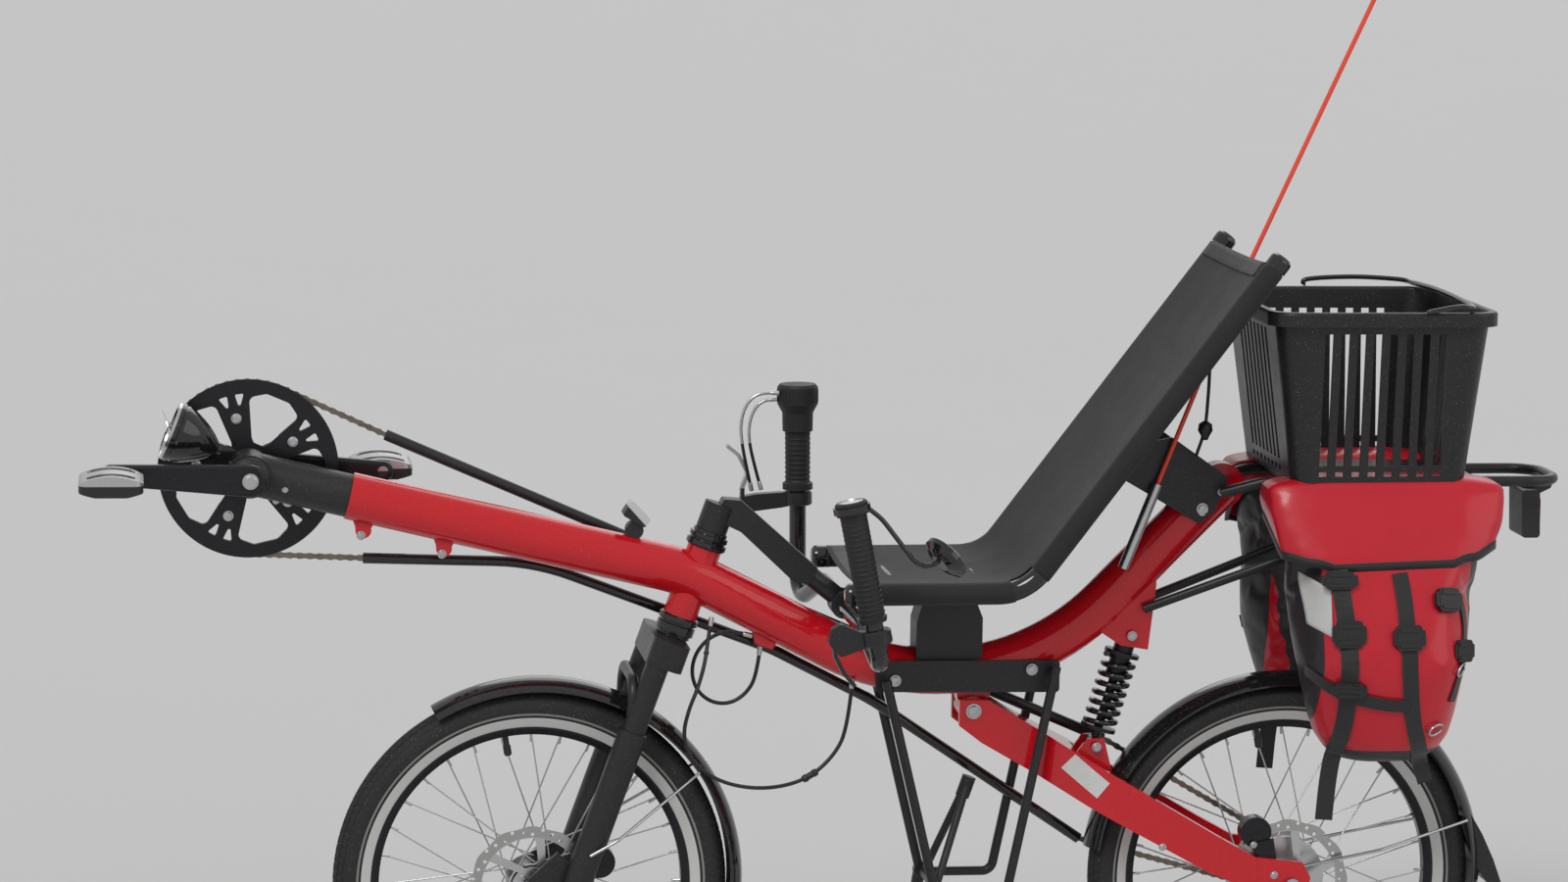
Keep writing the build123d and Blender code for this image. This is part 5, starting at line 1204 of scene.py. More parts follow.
class Laid:
    """Drops points onto the near bag and its lid from the side."""

    def __init__(self, meshes):
        shape = bmesh.new()
        for mesh in meshes:
            shape.from_mesh(mesh)
        self.tree = BVHTree.FromBMesh(shape)
        shape.free()
        self.last = -0.24

    def spot(self, x, z, lift):
        """The point on the bag beside a place, lifted off it, and its normal."""
        start = place(x, -400, z)
        found, normal, _, _ = self.tree.ray_cast(start, Vector((0, 1, 0)))
        if found is None:
            return Vector((start.x, self.last, start.z)), Vector((0, -1, 0))
        self.last = found.y
        if normal.y > 0:
            normal = -normal
        return found + Vector((0, -lift * MM, 0)), normal

    def line(self, points, lift, count=40):
        """A taut line over the bag along (x, z) points, with a normal for each of its points."""
        flat = smooth_line([(x, 0, z) for x, z in points], count)
        rows = [self.spot(point.x, point.z, lift) for point in flat]
        spots = [row[0] for row in rows]
        for _ in range(4):
            inner = [(a + 2 * b + c) / 4 for a, b, c in zip(spots, spots[1:], spots[2:])]
            spots = [spots[0], *inner, spots[-1]]
        lifted = [Vector((new.x, min(new.y, row[0].y), new.z)) for new, row in zip(spots, rows)]
        return lifted, [row[1] for row in rows]


def bag_finish(name, side):
    """Red cloth with black panels: front, rear, foot and the side towards the wheel."""
    made = stuff("bag_red").copy()
    made.name = name
    tree = made.node_tree
    black = tuple(bpy.context.scene.bicycle_colours.bag_black)
    lengthwise = plane_distance(tree, place(0, 0, 0), (1, 0, 0))
    banded(made, lengthwise, ((0.80, 0.972, black), (1.166, 1.30, black)), rough=0.42)
    banded(made, plane_distance(tree, place(0, side * 86, 0), (0, -side, 0)), ((0.0, 0.1, black),), rough=0.5)
    banded(made, plane_distance(tree, place(0, 0, 0), (0, 0, 1)), ((0.40, 0.446, black),), rough=0.5)
    return made


def buckle(shape, matrix, width=0.034, height=0.030):
    """A side-release buckle: a body with two slots and its two prongs."""
    slab(shape, rounded(width, height, 0.005), 0.008, matrix)
    for shift in (-0.30, 0.30):
        bar = matrix @ Matrix.Translation((0, shift * height, 0))
        slab(shape, rounded(width * 0.78, height * 0.16, 0.0015), 0.011, bar)
    for shift in (-1, 1):
        prong = matrix @ Matrix.Translation((shift * width * 0.54, 0, 0))
        slab(shape, rounded(0.006, height * 0.62, 0.0025), 0.0065, prong)
    return shape


# points (x, z) on the near bag, width in metres, lift off the cloth
STRAPS = (
    (
        ((991, 676), (994, 640), (998, 600), (1000, 552), (1001, 500), (999, 455), (992, 405), (988, 353)),
        0.022, 2.2,
    ),
    (((1068, 672), (1072, 640), (1074, 590), (1078, 530), (1088, 480), (1104, 440), (1118, 400)), 0.020, 2.2),
    (((955, 548), (975, 533), (1000, 522), (1040, 512), (1078, 508)), 0.016, 3.6),
    (((1150, 640), (1156, 600), (1150, 560), (1138, 510)), 0.014, 2.2),
)
# x, z, width and height in metres
BUCKLES = (
    (991, 664, 0.036, 0.022), (999, 600, 0.034, 0.034), (1000, 530, 0.036, 0.020),
    (1074, 596, 0.032, 0.032), (1128, 640, 0.030, 0.030), (1150, 575, 0.026, 0.028),
)
STRAP_THICK = 0.0022
STEEL_RINGS = ((1147, 552), (1118, 475))
STEEL_RING_STEPS = 10
PATCH_CORNERS = ((950, 668), (982, 652), (981, 594), (956, 606))
PATCH_ROWS, PATCH_PARTS = 12, 10


class BICYCLE_OT_panniers(Operator):
    """Make the two panniers: bags, lids with binding, straps, buckles, rings and pale patches"""
    bl_idname = "bicycle.panniers"
    bl_label = "Panniers"

    def execute(self, context):
        bag = make_bag()
        lid, edge = make_lid()
        onto = Laid((bag, lid))
        straps, hardware, steel = bmesh.new(), bmesh.new(), bmesh.new()
        for points, width, lift in STRAPS:
            line, facing = onto.line(points, lift)
            strip(straps, line, facing, width, STRAP_THICK)
        for x, z, width, height in BUCKLES:
            centre, normal = onto.spot(x, z, 5.5)
            facing = Vector((normal.x * 0.4, normal.y, normal.z * 0.4))
            buckle(hardware, oriented(centre, (1, 0, 0), facing), width, height)
        for x, z in STEEL_RINGS:
            centre, normal = onto.spot(x, z, 5)
            matrix = oriented(centre, (1, 0, 0.2), normal)
            angles = [a / STEEL_RING_STEPS * 2 * pi for a in range(STEEL_RING_STEPS)]
            tube(steel, [matrix @ Vector((0.011 * cos(a), 0.007 * sin(a), 0)) for a in angles], 0.0016, 6)
        patch = bmesh.new()
        corners = [Vector(corner) for corner in PATCH_CORNERS]
        grid = []
        for row in range(PATCH_ROWS + 1):
            share = row / PATCH_ROWS
            left, right = corners[0].lerp(corners[3], share), corners[1].lerp(corners[2], share)
            places = [left.lerp(right, part / PATCH_PARTS) for part in range(PATCH_PARTS + 1)]
            grid.append([patch.verts.new(onto.spot(*at, 0.9)[0]) for at in places])
        grid_faces(patch, grid)
        binding = bmesh.new()
        middle_x = sum(point.x for point in edge) / len(edge)
        outward = [point - Vector((middle_x, -0.12, point.z)) for point in edge]
        strip(binding, edge + edge[:1], outward + outward[:1], 0.010, 0.0042)
        meshes = {
            "bag": bag, "lid": lid, "straps": mesh_of(straps, smooth=False),
            "buckles": mesh_of(hardware, smooth=False), "rings": mesh_of(steel), "patch": mesh_of(patch),
            "binding": mesh_of(binding),
        }
        for name, side in (("left", -1), ("right", 1)):
            own = {key: mesh.copy() for key, mesh in meshes.items()}
            if side > 0:
                for mesh in own.values():
                    mesh.transform(Matrix.Scale(-1, 4, (0, 1, 0)))
                    mesh.flip_normals()
            made = {}
            for part, slot, material, stands_for in (
                ("bag", "bag_fabric", bag_finish(f"{name}_bag_cloth", side), (f"{name}_pannier",)),
                ("lid", "bag_fabric", stuff("bag_red"), ()),
                ("patch", "bag_fabric", stuff("reflective"), ()),
                ("straps", "black_plastic", stuff("webbing"), ()),
                ("buckles", "black_plastic", stuff("black_plastic"), ()),
                ("rings", "steel", stuff("bright_steel"), ()),
                ("binding", "bag_fabric", stuff("webbing"), ()),
            ):
                made[part] = piece(f"{name}_pannier_{part}", own[part], "frame", material, stands_for)
            thicken(made["lid"], 0.0016)
            thicken(made["patch"], 0.0006)
        return {"FINISHED"}


FLAG_TIP = (1180.0, 1660.0)
FLAG_MIDDLE = (886.0, 1010.0)
PENNANT_L, PENNANT_H = 190.0, 140.0
PENNANT_DROP = 12.0
PENNANT_RIPPLE = 0.0055
PENNANT_LEVELS, PENNANT_PARTS = 18, 40


def rippled(hoist, tip, middle_y, share, level):
    """A point of the pennant: a share of the way from the pole to its tip, at a level from 0 to 1."""
    point = hoist.lerp(tip, share * 0.985)
    point.y = middle_y + PENNANT_RIPPLE * sin(share * 7.5 + 1.2 * level) * min(1.0, share * 3)
    return point


class BICYCLE_OT_flag(Operator):
    """Make the pennant with its ripples, its sleeve round the pole and its hem"""
    bl_idname = "bicycle.flag"
    bl_label = "Flag"

    def execute(self, context):
        low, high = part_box("flag")
        middle_y = (low.y + high.y) / 2
        lean = atan2(FLAG_TIP[0] - FLAG_MIDDLE[0], FLAG_TIP[1] - FLAG_MIDDLE[1])
        top, foot = (
            place(FLAG_TIP[0] - drop * sin(lean), 0, FLAG_TIP[1] - drop * cos(lean))
            for drop in (PENNANT_DROP, PENNANT_DROP + PENNANT_H)
        )
        tip = Vector((high.x - 0.001, 0, (low.z + high.z) / 2))
        shape = bmesh.new()
        cloth = shape.loops.layers.uv.new("cloth")
        rows = []
        across, along = PENNANT_LEVELS, PENNANT_PARTS
        for part in range(along + 1):
            rows.append([
                shape.verts.new(rippled(
                    foot.lerp(top, level / across), tip, middle_y, part / along, level / across,
                ))
                for level in range(across + 1)
            ])
        for first, second in zip(rows, rows[1:]):
            for level in range(across):
                face = shape.faces.new((first[level], second[level], second[level + 1], first[level + 1]))
                for loop in face.loops:
                    loop[cloth].uv = (loop.vert.co.x, loop.vert.co.z)
        weave = woven(stuff("flag_cloth"), 0.0007, 0.05)
        pennant = piece(
            "pennant", mesh_of(shape, "pennant", outwards=False), "frame", weave, ("flag",),
        )
        thicken(pennant, 0.0005, 0)
        sleeve = bmesh.new()
        bar = [foot.lerp(top, part / 12) for part in range(13)]
        tube(sleeve, [Vector((point.x, middle_y, point.z)) for point in bar], 0.0043, 14)
        for level, hoist in ((0, foot), (1, top)):
            edge = [rippled(hoist, tip, middle_y, part / 30, level) for part in range(31)]
            strip(sleeve, edge, (0, 1, 0), 0.006, 0.0014)
        sleeve_piece = piece("pennant_sleeve", mesh_of(sleeve), "frame", stuff("flag_cloth"))
        return {"FINISHED"}


GRIP_Y = 285.0
SHORT_LOOP = (
    (279.6, -4, 565.5), (252, -4, 573), (226, -4, 565), (208, -4, 545), (202, -4, 520), (209, -4, 496),
    (228, -4, 480), (252, -4, 478), (273, -4, 491), (286, -4, 514), (290, -4, 552.2),
)
LONG_LOOP = (
    (226, -17, 592), (221, -24, 566), (216, -38, 538), (206, -51, 508), (193, -59, 480), (186, -61, 448),
    (198, -61, 414), (236, -55, 386), (292, -42, 374), (346, -36, 384), (382, -30, 413), (401, -24, 448),
    (407, -18, 511),
)
PIPES = (
    ((346.2, 274, 841), (322, 274, 843), (303, 274, 829), (295, 274, 803), (297, 274, 776), (305, 274, 738),
     (312, 279, 710.4)),
    ((344.4, 281, 832), (328, 281, 832), (314, 281, 820), (307, 281, 798), (308, 281, 774), (317, 281, 738),
     (325, 282, 711.2)),
)
# name, body, route, diameter, real length, the solid it stands for
CABLES = (
    ("short_cable_loop", "frame", SHORT_LOOP, 0.005, 0.266, "frame_cables"),
    ("long_cable_loop", "frame", LONG_LOOP, 0.005, 0.499, "frame_cables"),
    ("shifter_cable_1", "steering", PIPES[0], 0.0045, 0.167, "steering_cables"),
    ("shifter_cable_2", "steering", PIPES[1], 0.0045, 0.145, "steering_cables"),
)


class BICYCLE_OT_cables(Operator):
    """Make the cable loops behind the fork and the shifter's cables, each on one smooth line"""
    bl_idname = "bicycle.cables"
    bl_label = "Cables"

    def execute(self, context):
        for name, body, route, diameter, length, node in CABLES:
            curve = bpy.data.curves.new(name, "CURVE")
            curve.dimensions = "3D"
            curve.bevel_depth = diameter / 2
            curve.bevel_resolution = 3
            curve.resolution_u = 10
            curve.use_fill_caps = True
            spline = curve.splines.new("NURBS")
            spline.points.add(len(route) - 1)
            for point, (x, y, z) in zip(spline.points, route):
                point.co = (*place(x, y, z), 1.0)
            spline.order_u = 3
            spline.use_endpoint_u = True
            cable = put(name, curve)
            curve.materials.append(stuff("shifter_pipe" if body == "steering" else "hose_rubber"))
            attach(cable, body)
            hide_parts(node)
            fittings = cable_fittings(cable, name, body)
        return {"FINISHED"}


def cable_line(cable):
    """Points along a cable's own smooth line."""
    bare = cable.data.copy()
    bare.bevel_depth = 0
    carrier = put("line", bare)
    points = [vertex.co.copy() for vertex in evaluated(carrier).vertices]
    bpy.data.objects.remove(carrier)
    return points


def cable_fittings(cable, name, body):
    """Ferrules at both ends, and on the long loop the barrel adjuster and two bands."""
    line = cable_line(cable)
    shape = bmesh.new()
    radius = cable.data.bevel_depth
    for start, after in ((line[0], line[3]), (line[-1], line[-4])):
        way = (after - start).normalized()
        turned(shape, start, way, (
            (0, radius), (0.0005, radius + 0.0008), (0.010, radius + 0.0008), (0.012, radius + 0.0001),
        ), 14)
    made = [piece(f"{name}_ferrules", sharpened(mesh_of(shape)), body, stuff("satin_silver"))]
    if name == "long_cable_loop":
        barrel = bmesh.new()
        at = round(len(line) * 0.78)
        way = (line[at + 1] - line[at - 1]).normalized()
        turned(barrel, line[at] - way * (BARREL[-1][0] / 2), way, BARREL, 16)
        for share in (0.10, 0.52):
            at = round(len(line) * share)
            way = (line[at + 1] - line[at - 1]).normalized()
            turned(barrel, line[at] - way * (BARREL_BAND[-1][0] / 2), way, BARREL_BAND, 16)
        made.append(piece(
            f"{name}_barrel", sharpened(mesh_of(barrel)), body, stuff("black_plastic"),
        ))
    return made


REAR_X = 970.0
RIM_R = 192.0
SPOKES = 32
DISC_SCREWS = 6
DISC_SCREW_CIRCLE_R = 0.0185
VALVE_AT = radians(100)
TYRE_CENTRE_R = 226.5
TYRE_R = 22.9
# distance from the axle and from the wheel's middle, from the crown down over the near bead and inside
TYRE_SIDE = ((214.5, 20.0), (210.0, 17.6), (206.0, 15.4), (203.4, 14.3), (202.6, 13.6))
TYRE_OUTER_R = 250.0
TYRE_STEPS = 160
STRIPE_FOOT = 0.2028
THIN_STRIPE = (0.2186, 0.2212)
# the near edge and far edge of each row of blocks in degrees from the crown, its shift and its length
# as shares of the distance between two blocks
TREAD_ROWS = (
    (-13, 13, 0.0, 0.80), (17, 35, 0.3, 0.78), (-35, -17, 0.3, 0.78),
    (40, 58, 0.65, 0.72), (-58, -40, 0.65, 0.72),
)
TREAD_PARTS = 3
DISC_THICK = 0.0017
DISC_R, DISC_WAVE, DISC_WAVES, DISC_STEPS = 0.0786, 0.0012, 12, 192
DISC_BORE = 0.014
DISC_ARMS = 6
DISC_HOLES = 36
DISC_HOLE_R = 0.0023
DISC_HOLE_CIRCLES = (0.0692, 0.0725, 0.0755)


class BICYCLE_OT_wheels(Operator):
    """Make the tyres with stripe and tread, the brake discs and screws, the spoke nipples and the valves"""
    bl_idname = "bicycle.wheels"
    bl_label = "Wheels"

    def execute(self, context):
        sizes = context.scene.bicycle_sizes
        stripe = tuple(context.scene.bicycle_colours.stripe_grey)
        for name, centre, disc_y in (("front", FRONT_AXLE, -36.0), ("rear", REAR_AXLE, -52.0)):
            body = f"{name}_wheel"
            rubber = stuff("tyre_rubber").copy()
            rubber.name = f"{name}_tyre_rubber"
            reach = axle_distance(rubber.node_tree, centre)
            banded(rubber, reach, (
                (STRIPE_FOOT, STRIPE_FOOT + sizes.stripe, stripe),
                (*THIN_STRIPE, tuple(0.38 * part for part in stripe)),
            ), rough=0.5)
            tread = repeated(
                "wheel", empty_mesh(), tread_blocks(sizes), rubber, Count=sizes.tread_blocks,
                Radius=TYRE_CENTRE_R * MM, Centre=centre,
            )
            carcass = tyre_shell(centre)
            carcass.materials.append(rubber)
            piece(
                f"{name}_tyre_rubber", joined(f"{name}_tyre", [carcass, tread]), body,
                stands_for=(f"{name}_tyre",),
            )
            disc = brake_disc()
            upright = Matrix.Rotation(pi / 2, 4, "X")
            disc.transform(Matrix.Translation((centre.x, disc_y * MM, centre.z)) @ upright)
            face = ringed(band_copy(
                f"{name}_disc_face", "satin_silver", lambda tree: axle_distance(tree, centre),
                ((0.0655, 0.081, (0.46, 0.455, 0.45)),), rough=0.24, metal=1.0,
            ), centre, 3000.0, 0.012)
            piece(f"{name}_brake_disc", disc, body, face, (f"{name}_disc",))
            nipple = mesh_of(turned(bmesh.new(), (0.0006, 0, 0), (-1, 0, 0), NIPPLE, 8))
            nipples = repeated(
                "wheel", empty_mesh(), nipple, stuff("bright_steel"), Count=SPOKES, Radius=RIM_R * MM,
                Centre=centre,
            )
            piece(f"{name}_nipples", nipples, body)
            valve = bmesh.new()
            foot = centre + Vector((cos(VALVE_AT), 0, sin(VALVE_AT))) * (RIM_R * MM)
            turned(valve, foot, centre - foot, VALVE, 16)
            piece(f"{name}_valve", sharpened(mesh_of(valve)), body, stuff("black_plastic"))
            heads = []
            for turn in range(DISC_SCREWS):
                angle = radians(360 / DISC_SCREWS * turn + 12)
                out = Vector((cos(angle), 0, sin(angle))) * DISC_SCREW_CIRCLE_R
                heads.append((Vector((centre.x, (disc_y - 1) * MM, centre.z)) + out, (0, -1, 0), 0.0034))
            screws = repeated("point", point_mesh(heads), screw_head(), stuff("bright_steel"))
            piece(f"{name}_disc_screws", screws, body)
        return {"FINISHED"}


def tyre_shell(centre):
    """The tyre's carcass without its tread, turned about the axle."""
    half = []
    for part in range(13):
        angle = radians(118 * part / 12)
        half.append((TYRE_CENTRE_R + TYRE_R * cos(angle), TYRE_R * sin(angle)))
    half = half[:-1] + list(TYRE_SIDE) + [(203.5, 9.0)]
    profile = [(r, -y) for r, y in reversed(half[1:])] + half
    shape = bmesh.new()
    rings = []
    for turn in range(TYRE_STEPS):
        angle = 2 * pi * turn / TYRE_STEPS
        rings.append([
            shape.verts.new(centre + Vector((cos(angle) * r, y, sin(angle) * r)) * MM) for r, y in profile
        ])
    skin(shape, rings + rings[:1], ends=False)
    return mesh_of(shape)


def tread_blocks(sizes):
    """One row of tread blocks across the tyre, about the middle of its section."""
    shape = bmesh.new()
    pitch = 2 * pi * TYRE_OUTER_R / sizes.tread_blocks
    parts = TREAD_PARTS
    for low, high, shift, length in TREAD_ROWS:
        rows = []
        for level in (TYRE_R - 0.6, TYRE_R + sizes.tread_gap / MM - 0.55):
            edge = []
            for part in range(parts + 1):
                angle = radians(low + (high - low) * part / parts)
                skew = abs(low + (high - low) * part / parts) / 60 * pitch * 0.35
                for end in (-0.5, 0.5):
                    y = (end * length + shift) * pitch + skew
                    edge.append(shape.verts.new(Vector((level * cos(angle), y, level * sin(angle))) * MM))
            rows.append(edge)
        under, over = rows
        for part in range(parts):
            a, b, c, d = 2 * part, 2 * part + 1, 2 * part + 3, 2 * part + 2
            shape.faces.new((over[a], over[b], over[c], over[d]))
            shape.faces.new((under[d], under[c], under[b], under[a]))
            shape.faces.new((over[d], under[d], under[a], over[a]))
            shape.faces.new((over[b], under[b], under[c], over[c]))
        for a, b in ((0, 1), (2 * parts + 1, 2 * parts)):
            shape.faces.new((over[b], over[a], under[a], under[b]))
    return mesh_of(shape, smooth=False)


def brake_disc():
    """The brake disc in the XY plane: a wavy rim with holes on six slanted arms."""
    curve = bpy.data.curves.new("disc", "CURVE")
    curve.dimensions = "2D"
    curve.fill_mode = "BOTH"
    curve.extrude = DISC_THICK / 2

    def outline(points):
        spline = curve.splines.new("POLY")
        spline.points.add(len(points) - 1)
        for point, (x, y) in zip(spline.points, points):
            point.co = (x, y, 0, 1)
        spline.use_cyclic_u = True

    def circle(x, y, radius, steps=16):
        angles = [2 * pi * a / steps for a in range(steps)]
        return [(x + radius * cos(a), y + radius * sin(a)) for a in angles]

    angles = [2 * pi * a / DISC_STEPS for a in range(DISC_STEPS)]
    rim = [(a, DISC_R + DISC_WAVE * cos(DISC_WAVES * a)) for a in angles]
    outline([(r * cos(a), r * sin(a)) for a, r in rim])
    outline(circle(0, 0, DISC_BORE, 40))
    for arm in range(DISC_ARMS):
        start = radians(360 / DISC_ARMS * arm)
        inner = [(0.0265, start + radians(11 + 38 * part / 8)) for part in range(9)]
        outer = [(0.0645, start + radians(58 - 49 * part / 12) + radians(18)) for part in range(13)]
        outline([(r * cos(a), r * sin(a)) for r, a in inner + outer])
    for hole in range(DISC_HOLES):
        angle = radians(360 / DISC_HOLES * hole)
        radius = DISC_HOLE_CIRCLES[hole % 3]
        outline(circle(radius * cos(angle), radius * sin(angle), DISC_HOLE_R, 12))
    carrier = put("disc", curve)
    mesh = evaluated(carrier)
    bpy.data.objects.remove(carrier)
    shape = bmesh.new()
    shape.from_mesh(mesh)
    bmesh.ops.remove_doubles(shape, verts=shape.verts, dist=1e-6)
    return mesh_of(shape, smooth=False)


def screw_head():
    """A round screw head of unit radius with a recess, standing on its foot along Z."""
    shape = bmesh.new()
    turned(shape, (0, 0, -0.05), (0, 0, 1), SCREW_HEAD, 20)
    return sharpened(mesh_of(shape))


CHAIN_Y = 47.0
RING_TEETH, SPROCKET_TEETH = 54, 16
PLATE_THICK = 0.0009
PLATE_END_R = 0.0041
PIN_R, ROLLER_R = 0.0019, 0.0038
OUTER_GAP, INNER_GAP = 0.0030, 0.0020
INSIDE_TUBE = 0.016
FRONT_MOUTHS = ((-183.0, 817.0), (-211.0, 660.0))
REAR_MOUTHS = ((745.0, 419.0), (716.0, 287.0))


def chain_path(centre, teeth, mouths, side, pitch):
    """The chain's line from the upper tube's mouth, round the teeth, to the lower tube's mouth."""
    loop_r = pitch / MM / (2 * sin(pi / teeth))
    cx, cz = centre
    turns = []
    for (x, z), way in zip(mouths, (1, -1)):
        reach = hypot(x - cx, z - cz)
        turns.append(atan2(z - cz, x - cx) + side * way * acos(loop_r / reach))
    upper, lower = turns
    if side > 0:
        lower += 2 * pi if lower < upper else 0
    else:
        lower -= 2 * pi if lower > upper else 0
    count = max(24, round(abs(lower - upper) * teeth / (2 * pi) * 3))
    arc = [upper + (lower - upper) * part / count for part in range(count + 1)]
    points = [mouths[0]] + [(cx + loop_r * cos(a), cz + loop_r * sin(a)) for a in arc] + [mouths[1]]
    line = [place(x, CHAIN_Y, z) for x, z in points]
    for end, after in ((0, 1), (-1, -2)):
        line[end] = line[end] + (line[end] - line[after]).normalized() * INSIDE_TUBE
    return line


def link_plates(pitch, gap, thick, roller):
    """Two waisted plates with their pins or rollers, half a pitch either side of the middle."""
    shape = bmesh.new()
    half, end = pitch / 2, PLATE_END_R
    outline = []
    for sign in (1, -1):
        for part in range(9):
            angle = radians(-70 + 140 * part / 8)
            outline.append((sign * (half + end * cos(angle)), sign * end * sin(angle)))
        outline.append((0.0, sign * end * 0.62))
    for level in (-1, 1):
        slab(shape, outline, thick, Matrix.Translation((0, 0, level * gap)))
    radius, reach = (ROLLER_R, gap) if roller else (PIN_R, gap + thick / 2 + 0.0002)
    for x in (-half, half):
        turned(shape, (x, 0, -reach), (0, 0, 1), ((0, radius), (2 * reach, radius)), 12)
    return sharpened(mesh_of(shape))


class BICYCLE_OT_chain(Operator):
    """Make the chain link by link, where it shows outside its two tubes"""
    bl_idname = "bicycle.chain"
    bl_label = "Chain"

    def execute(self, context):
        pitch = context.scene.bicycle_sizes.link_pitch
        axle = (CRANK_AXLE - FRONT_AXLE) / MM
        crank_z = CRANK_AXLE.z / MM
        meshes = []
        for centre, teeth, mouths, side in (
            ((axle.x, crank_z), RING_TEETH, FRONT_MOUTHS, 1),
            ((REAR_X, WHEEL_R / MM), SPROCKET_TEETH, REAR_MOUTHS, -1),
        ):
            pins = chain_pins(chain_path(centre, teeth, mouths, side, pitch), pitch)
            for start, gap, roller in ((0, OUTER_GAP, False), (1, INNER_GAP, True)):
                last = start + 2 * ((len(pins) - 2 - start) // 2)
                ends = [(pins[spot] + pins[spot + 1]) / 2 for spot in (start, last)]
                route = path_mesh([ends[0], *pins[start + 1:last + 1], ends[1]])
                meshes.append(repeated(
                    "path", route, link_plates(pitch, gap, PLATE_THICK, roller), stuff("chain_steel"),
                    Spacing=2 * pitch, Up=(0, 1, 0),
                ))
        piece("chain_links", joined("chain_links", meshes), "frame", None, ("chain",))
        return {"FINISHED"}


def chain_pins(points, pitch):
    """Points one pitch apart along a line, as the pins of a chain lie."""
    pins = [points[0]]
    for a, b in zip(points, points[1:]):
        from_share = 0.0
        while (b - pins[-1]).length >= pitch:
            low, high = from_share, 1.0
            for _ in range(24):
                middle = (low + high) / 2
                if (a.lerp(b, middle) - pins[-1]).length < pitch:
                    low = middle
                else:
                    high = middle
            pins.append(a.lerp(b, high))
            from_share = high
    return pins


# name, body, finish, node that it is seated on, y of the face's side, then (x, z, radius), and how far
# beside a hole its face is felt for
SCREWS = (
    ("plate_screws", "frame", "bright_steel", "side_plates", -80, ((459, 512, 6.0), (634.5, 525, 6.0))),
    ("far_plate_screws", "frame", "bright_steel", "side_plates", 80, ((459, 512, 6.0), (634.5, 525, 6.0))),
    ("boom_screw", "frame", "bright_steel", "boom", -80, ((-311, 758, 3.2), (-322, 741, 3.2))),
    ("lug_screws", "frame", "bright_steel", "main_frame", -60, (
        (-216, 697, 4.6), (-114.6, 673, 4.6), (851, 726, 6.0),
    )),
    ("bracket_screws", "frame", "bright_steel", "seat_back_bracket", -80, ((851, 730, 6.0), (875, 752, 4.0))),
    ("pivot_screws", "frame", "bright_steel", "swing_arm", -90, (
        (561, 471, 8.0, 15.0), (801, 301, 4.0), (948, 262, 4.0),
    )),
    ("shock_screw", "frame", "bright_steel", "shock_body", -90, ((723, 421, 5.0), (766, 565, 5.0))),
    ("caliper_screws", "frame", "bright_steel", "rear_caliper", -90, ((922, 300, 3.6),)),
    ("front_caliper_screws", "steering", "bright_steel", "front_caliper", -90, ((76, 272, 3.4),)),
    ("crank_screws", "cranks", "satin_silver", "left_crank", -120, ((-355, 775.4, 8.0),)),
    ("far_crank_screws", "cranks", "satin_silver", "right_crank", 120, ((-355, 775.4, 8.0),)),
)
RING_SCREWS = 5
RING_SCREW_CIRCLE_R = 65.0
CRANK_X = -355.0


class BICYCLE_OT_screws(Operator):
    """Seat the screw heads on the frame, the plates, the brakes, the cranks and the chainring"""
    bl_idname = "bicycle.screws"
    bl_label = "Screws"

    def execute(self, context):
        for name, body, finish_name, node, y, rows in SCREWS:
            heads = []
            aim = Vector((0, 1 if y > 0 else -1, 0))
            for x, z, radius, *probe in rows:
                beside = probe[0] if probe else 0.0
                spot = touch(node, place(x + beside, y * 2, z), -aim)
                heads.append((spot - Vector((beside * MM, 0, 0)), aim, radius * MM))
            self.seat(name, heads, finish_name, body)
        ring = []
        for turn in range(RING_SCREWS):
            angle = radians(31.4 + 360 / RING_SCREWS * turn)
            x = CRANK_X + RING_SCREW_CIRCLE_R * cos(angle)
            z = CRANK_AXLE.z / MM + RING_SCREW_CIRCLE_R * sin(angle)
            ring.append((touch("chainring", place(x, -30, z), (0, 1, 0)), (0, -1, 0), 0.0052))
        self.seat("chainring_screws", ring, "satin_silver", "cranks")
        return {"FINISHED"}

    def seat(self, name, heads, finish_name, body):
        made = repeated("point", point_mesh(heads), screw_head(), stuff(finish_name))
        piece(name, made, body)


# foot and top of each grip's line, as (x, z)
LEFT_GRIP = ((392.0, 630.0), (362.0, 775.0))
RIGHT_GRIP = ((374.0, 712.0), (372.0, 846.0))
# name, grip, y, start and end of its ribs from its foot, radius
RIBS = (
    ("left_grip_ribs", LEFT_GRIP, -GRIP_Y, 12, 130, 16.6),
    ("right_grip_ribs", RIGHT_GRIP, GRIP_Y, 16, 74, 16.9),
)
RIB_SPACING = 0.0062
COLLAR_BARS = 36
COLLAR_R = 0.0268
MIRROR_CENTRE = place(479, -283, 708)
MIRROR_WAY = Vector((0.70, 0.33, 0.63)).normalized()
TAIL_LENS_Y = 17.0
TAIL_LENS_W, TAIL_LENS_H = 0.022, 0.046


def grip_line(grip, y, low, high, count=2):
    """Points along a grip's own line between two distances from its foot."""
    foot, top = place(grip[0][0], y, grip[0][1]), place(grip[1][0], y, grip[1][1])
    way = (top - foot).normalized()
    return [foot + way * (low + (high - low) * part / (count - 1)) * MM for part in range(count)], way


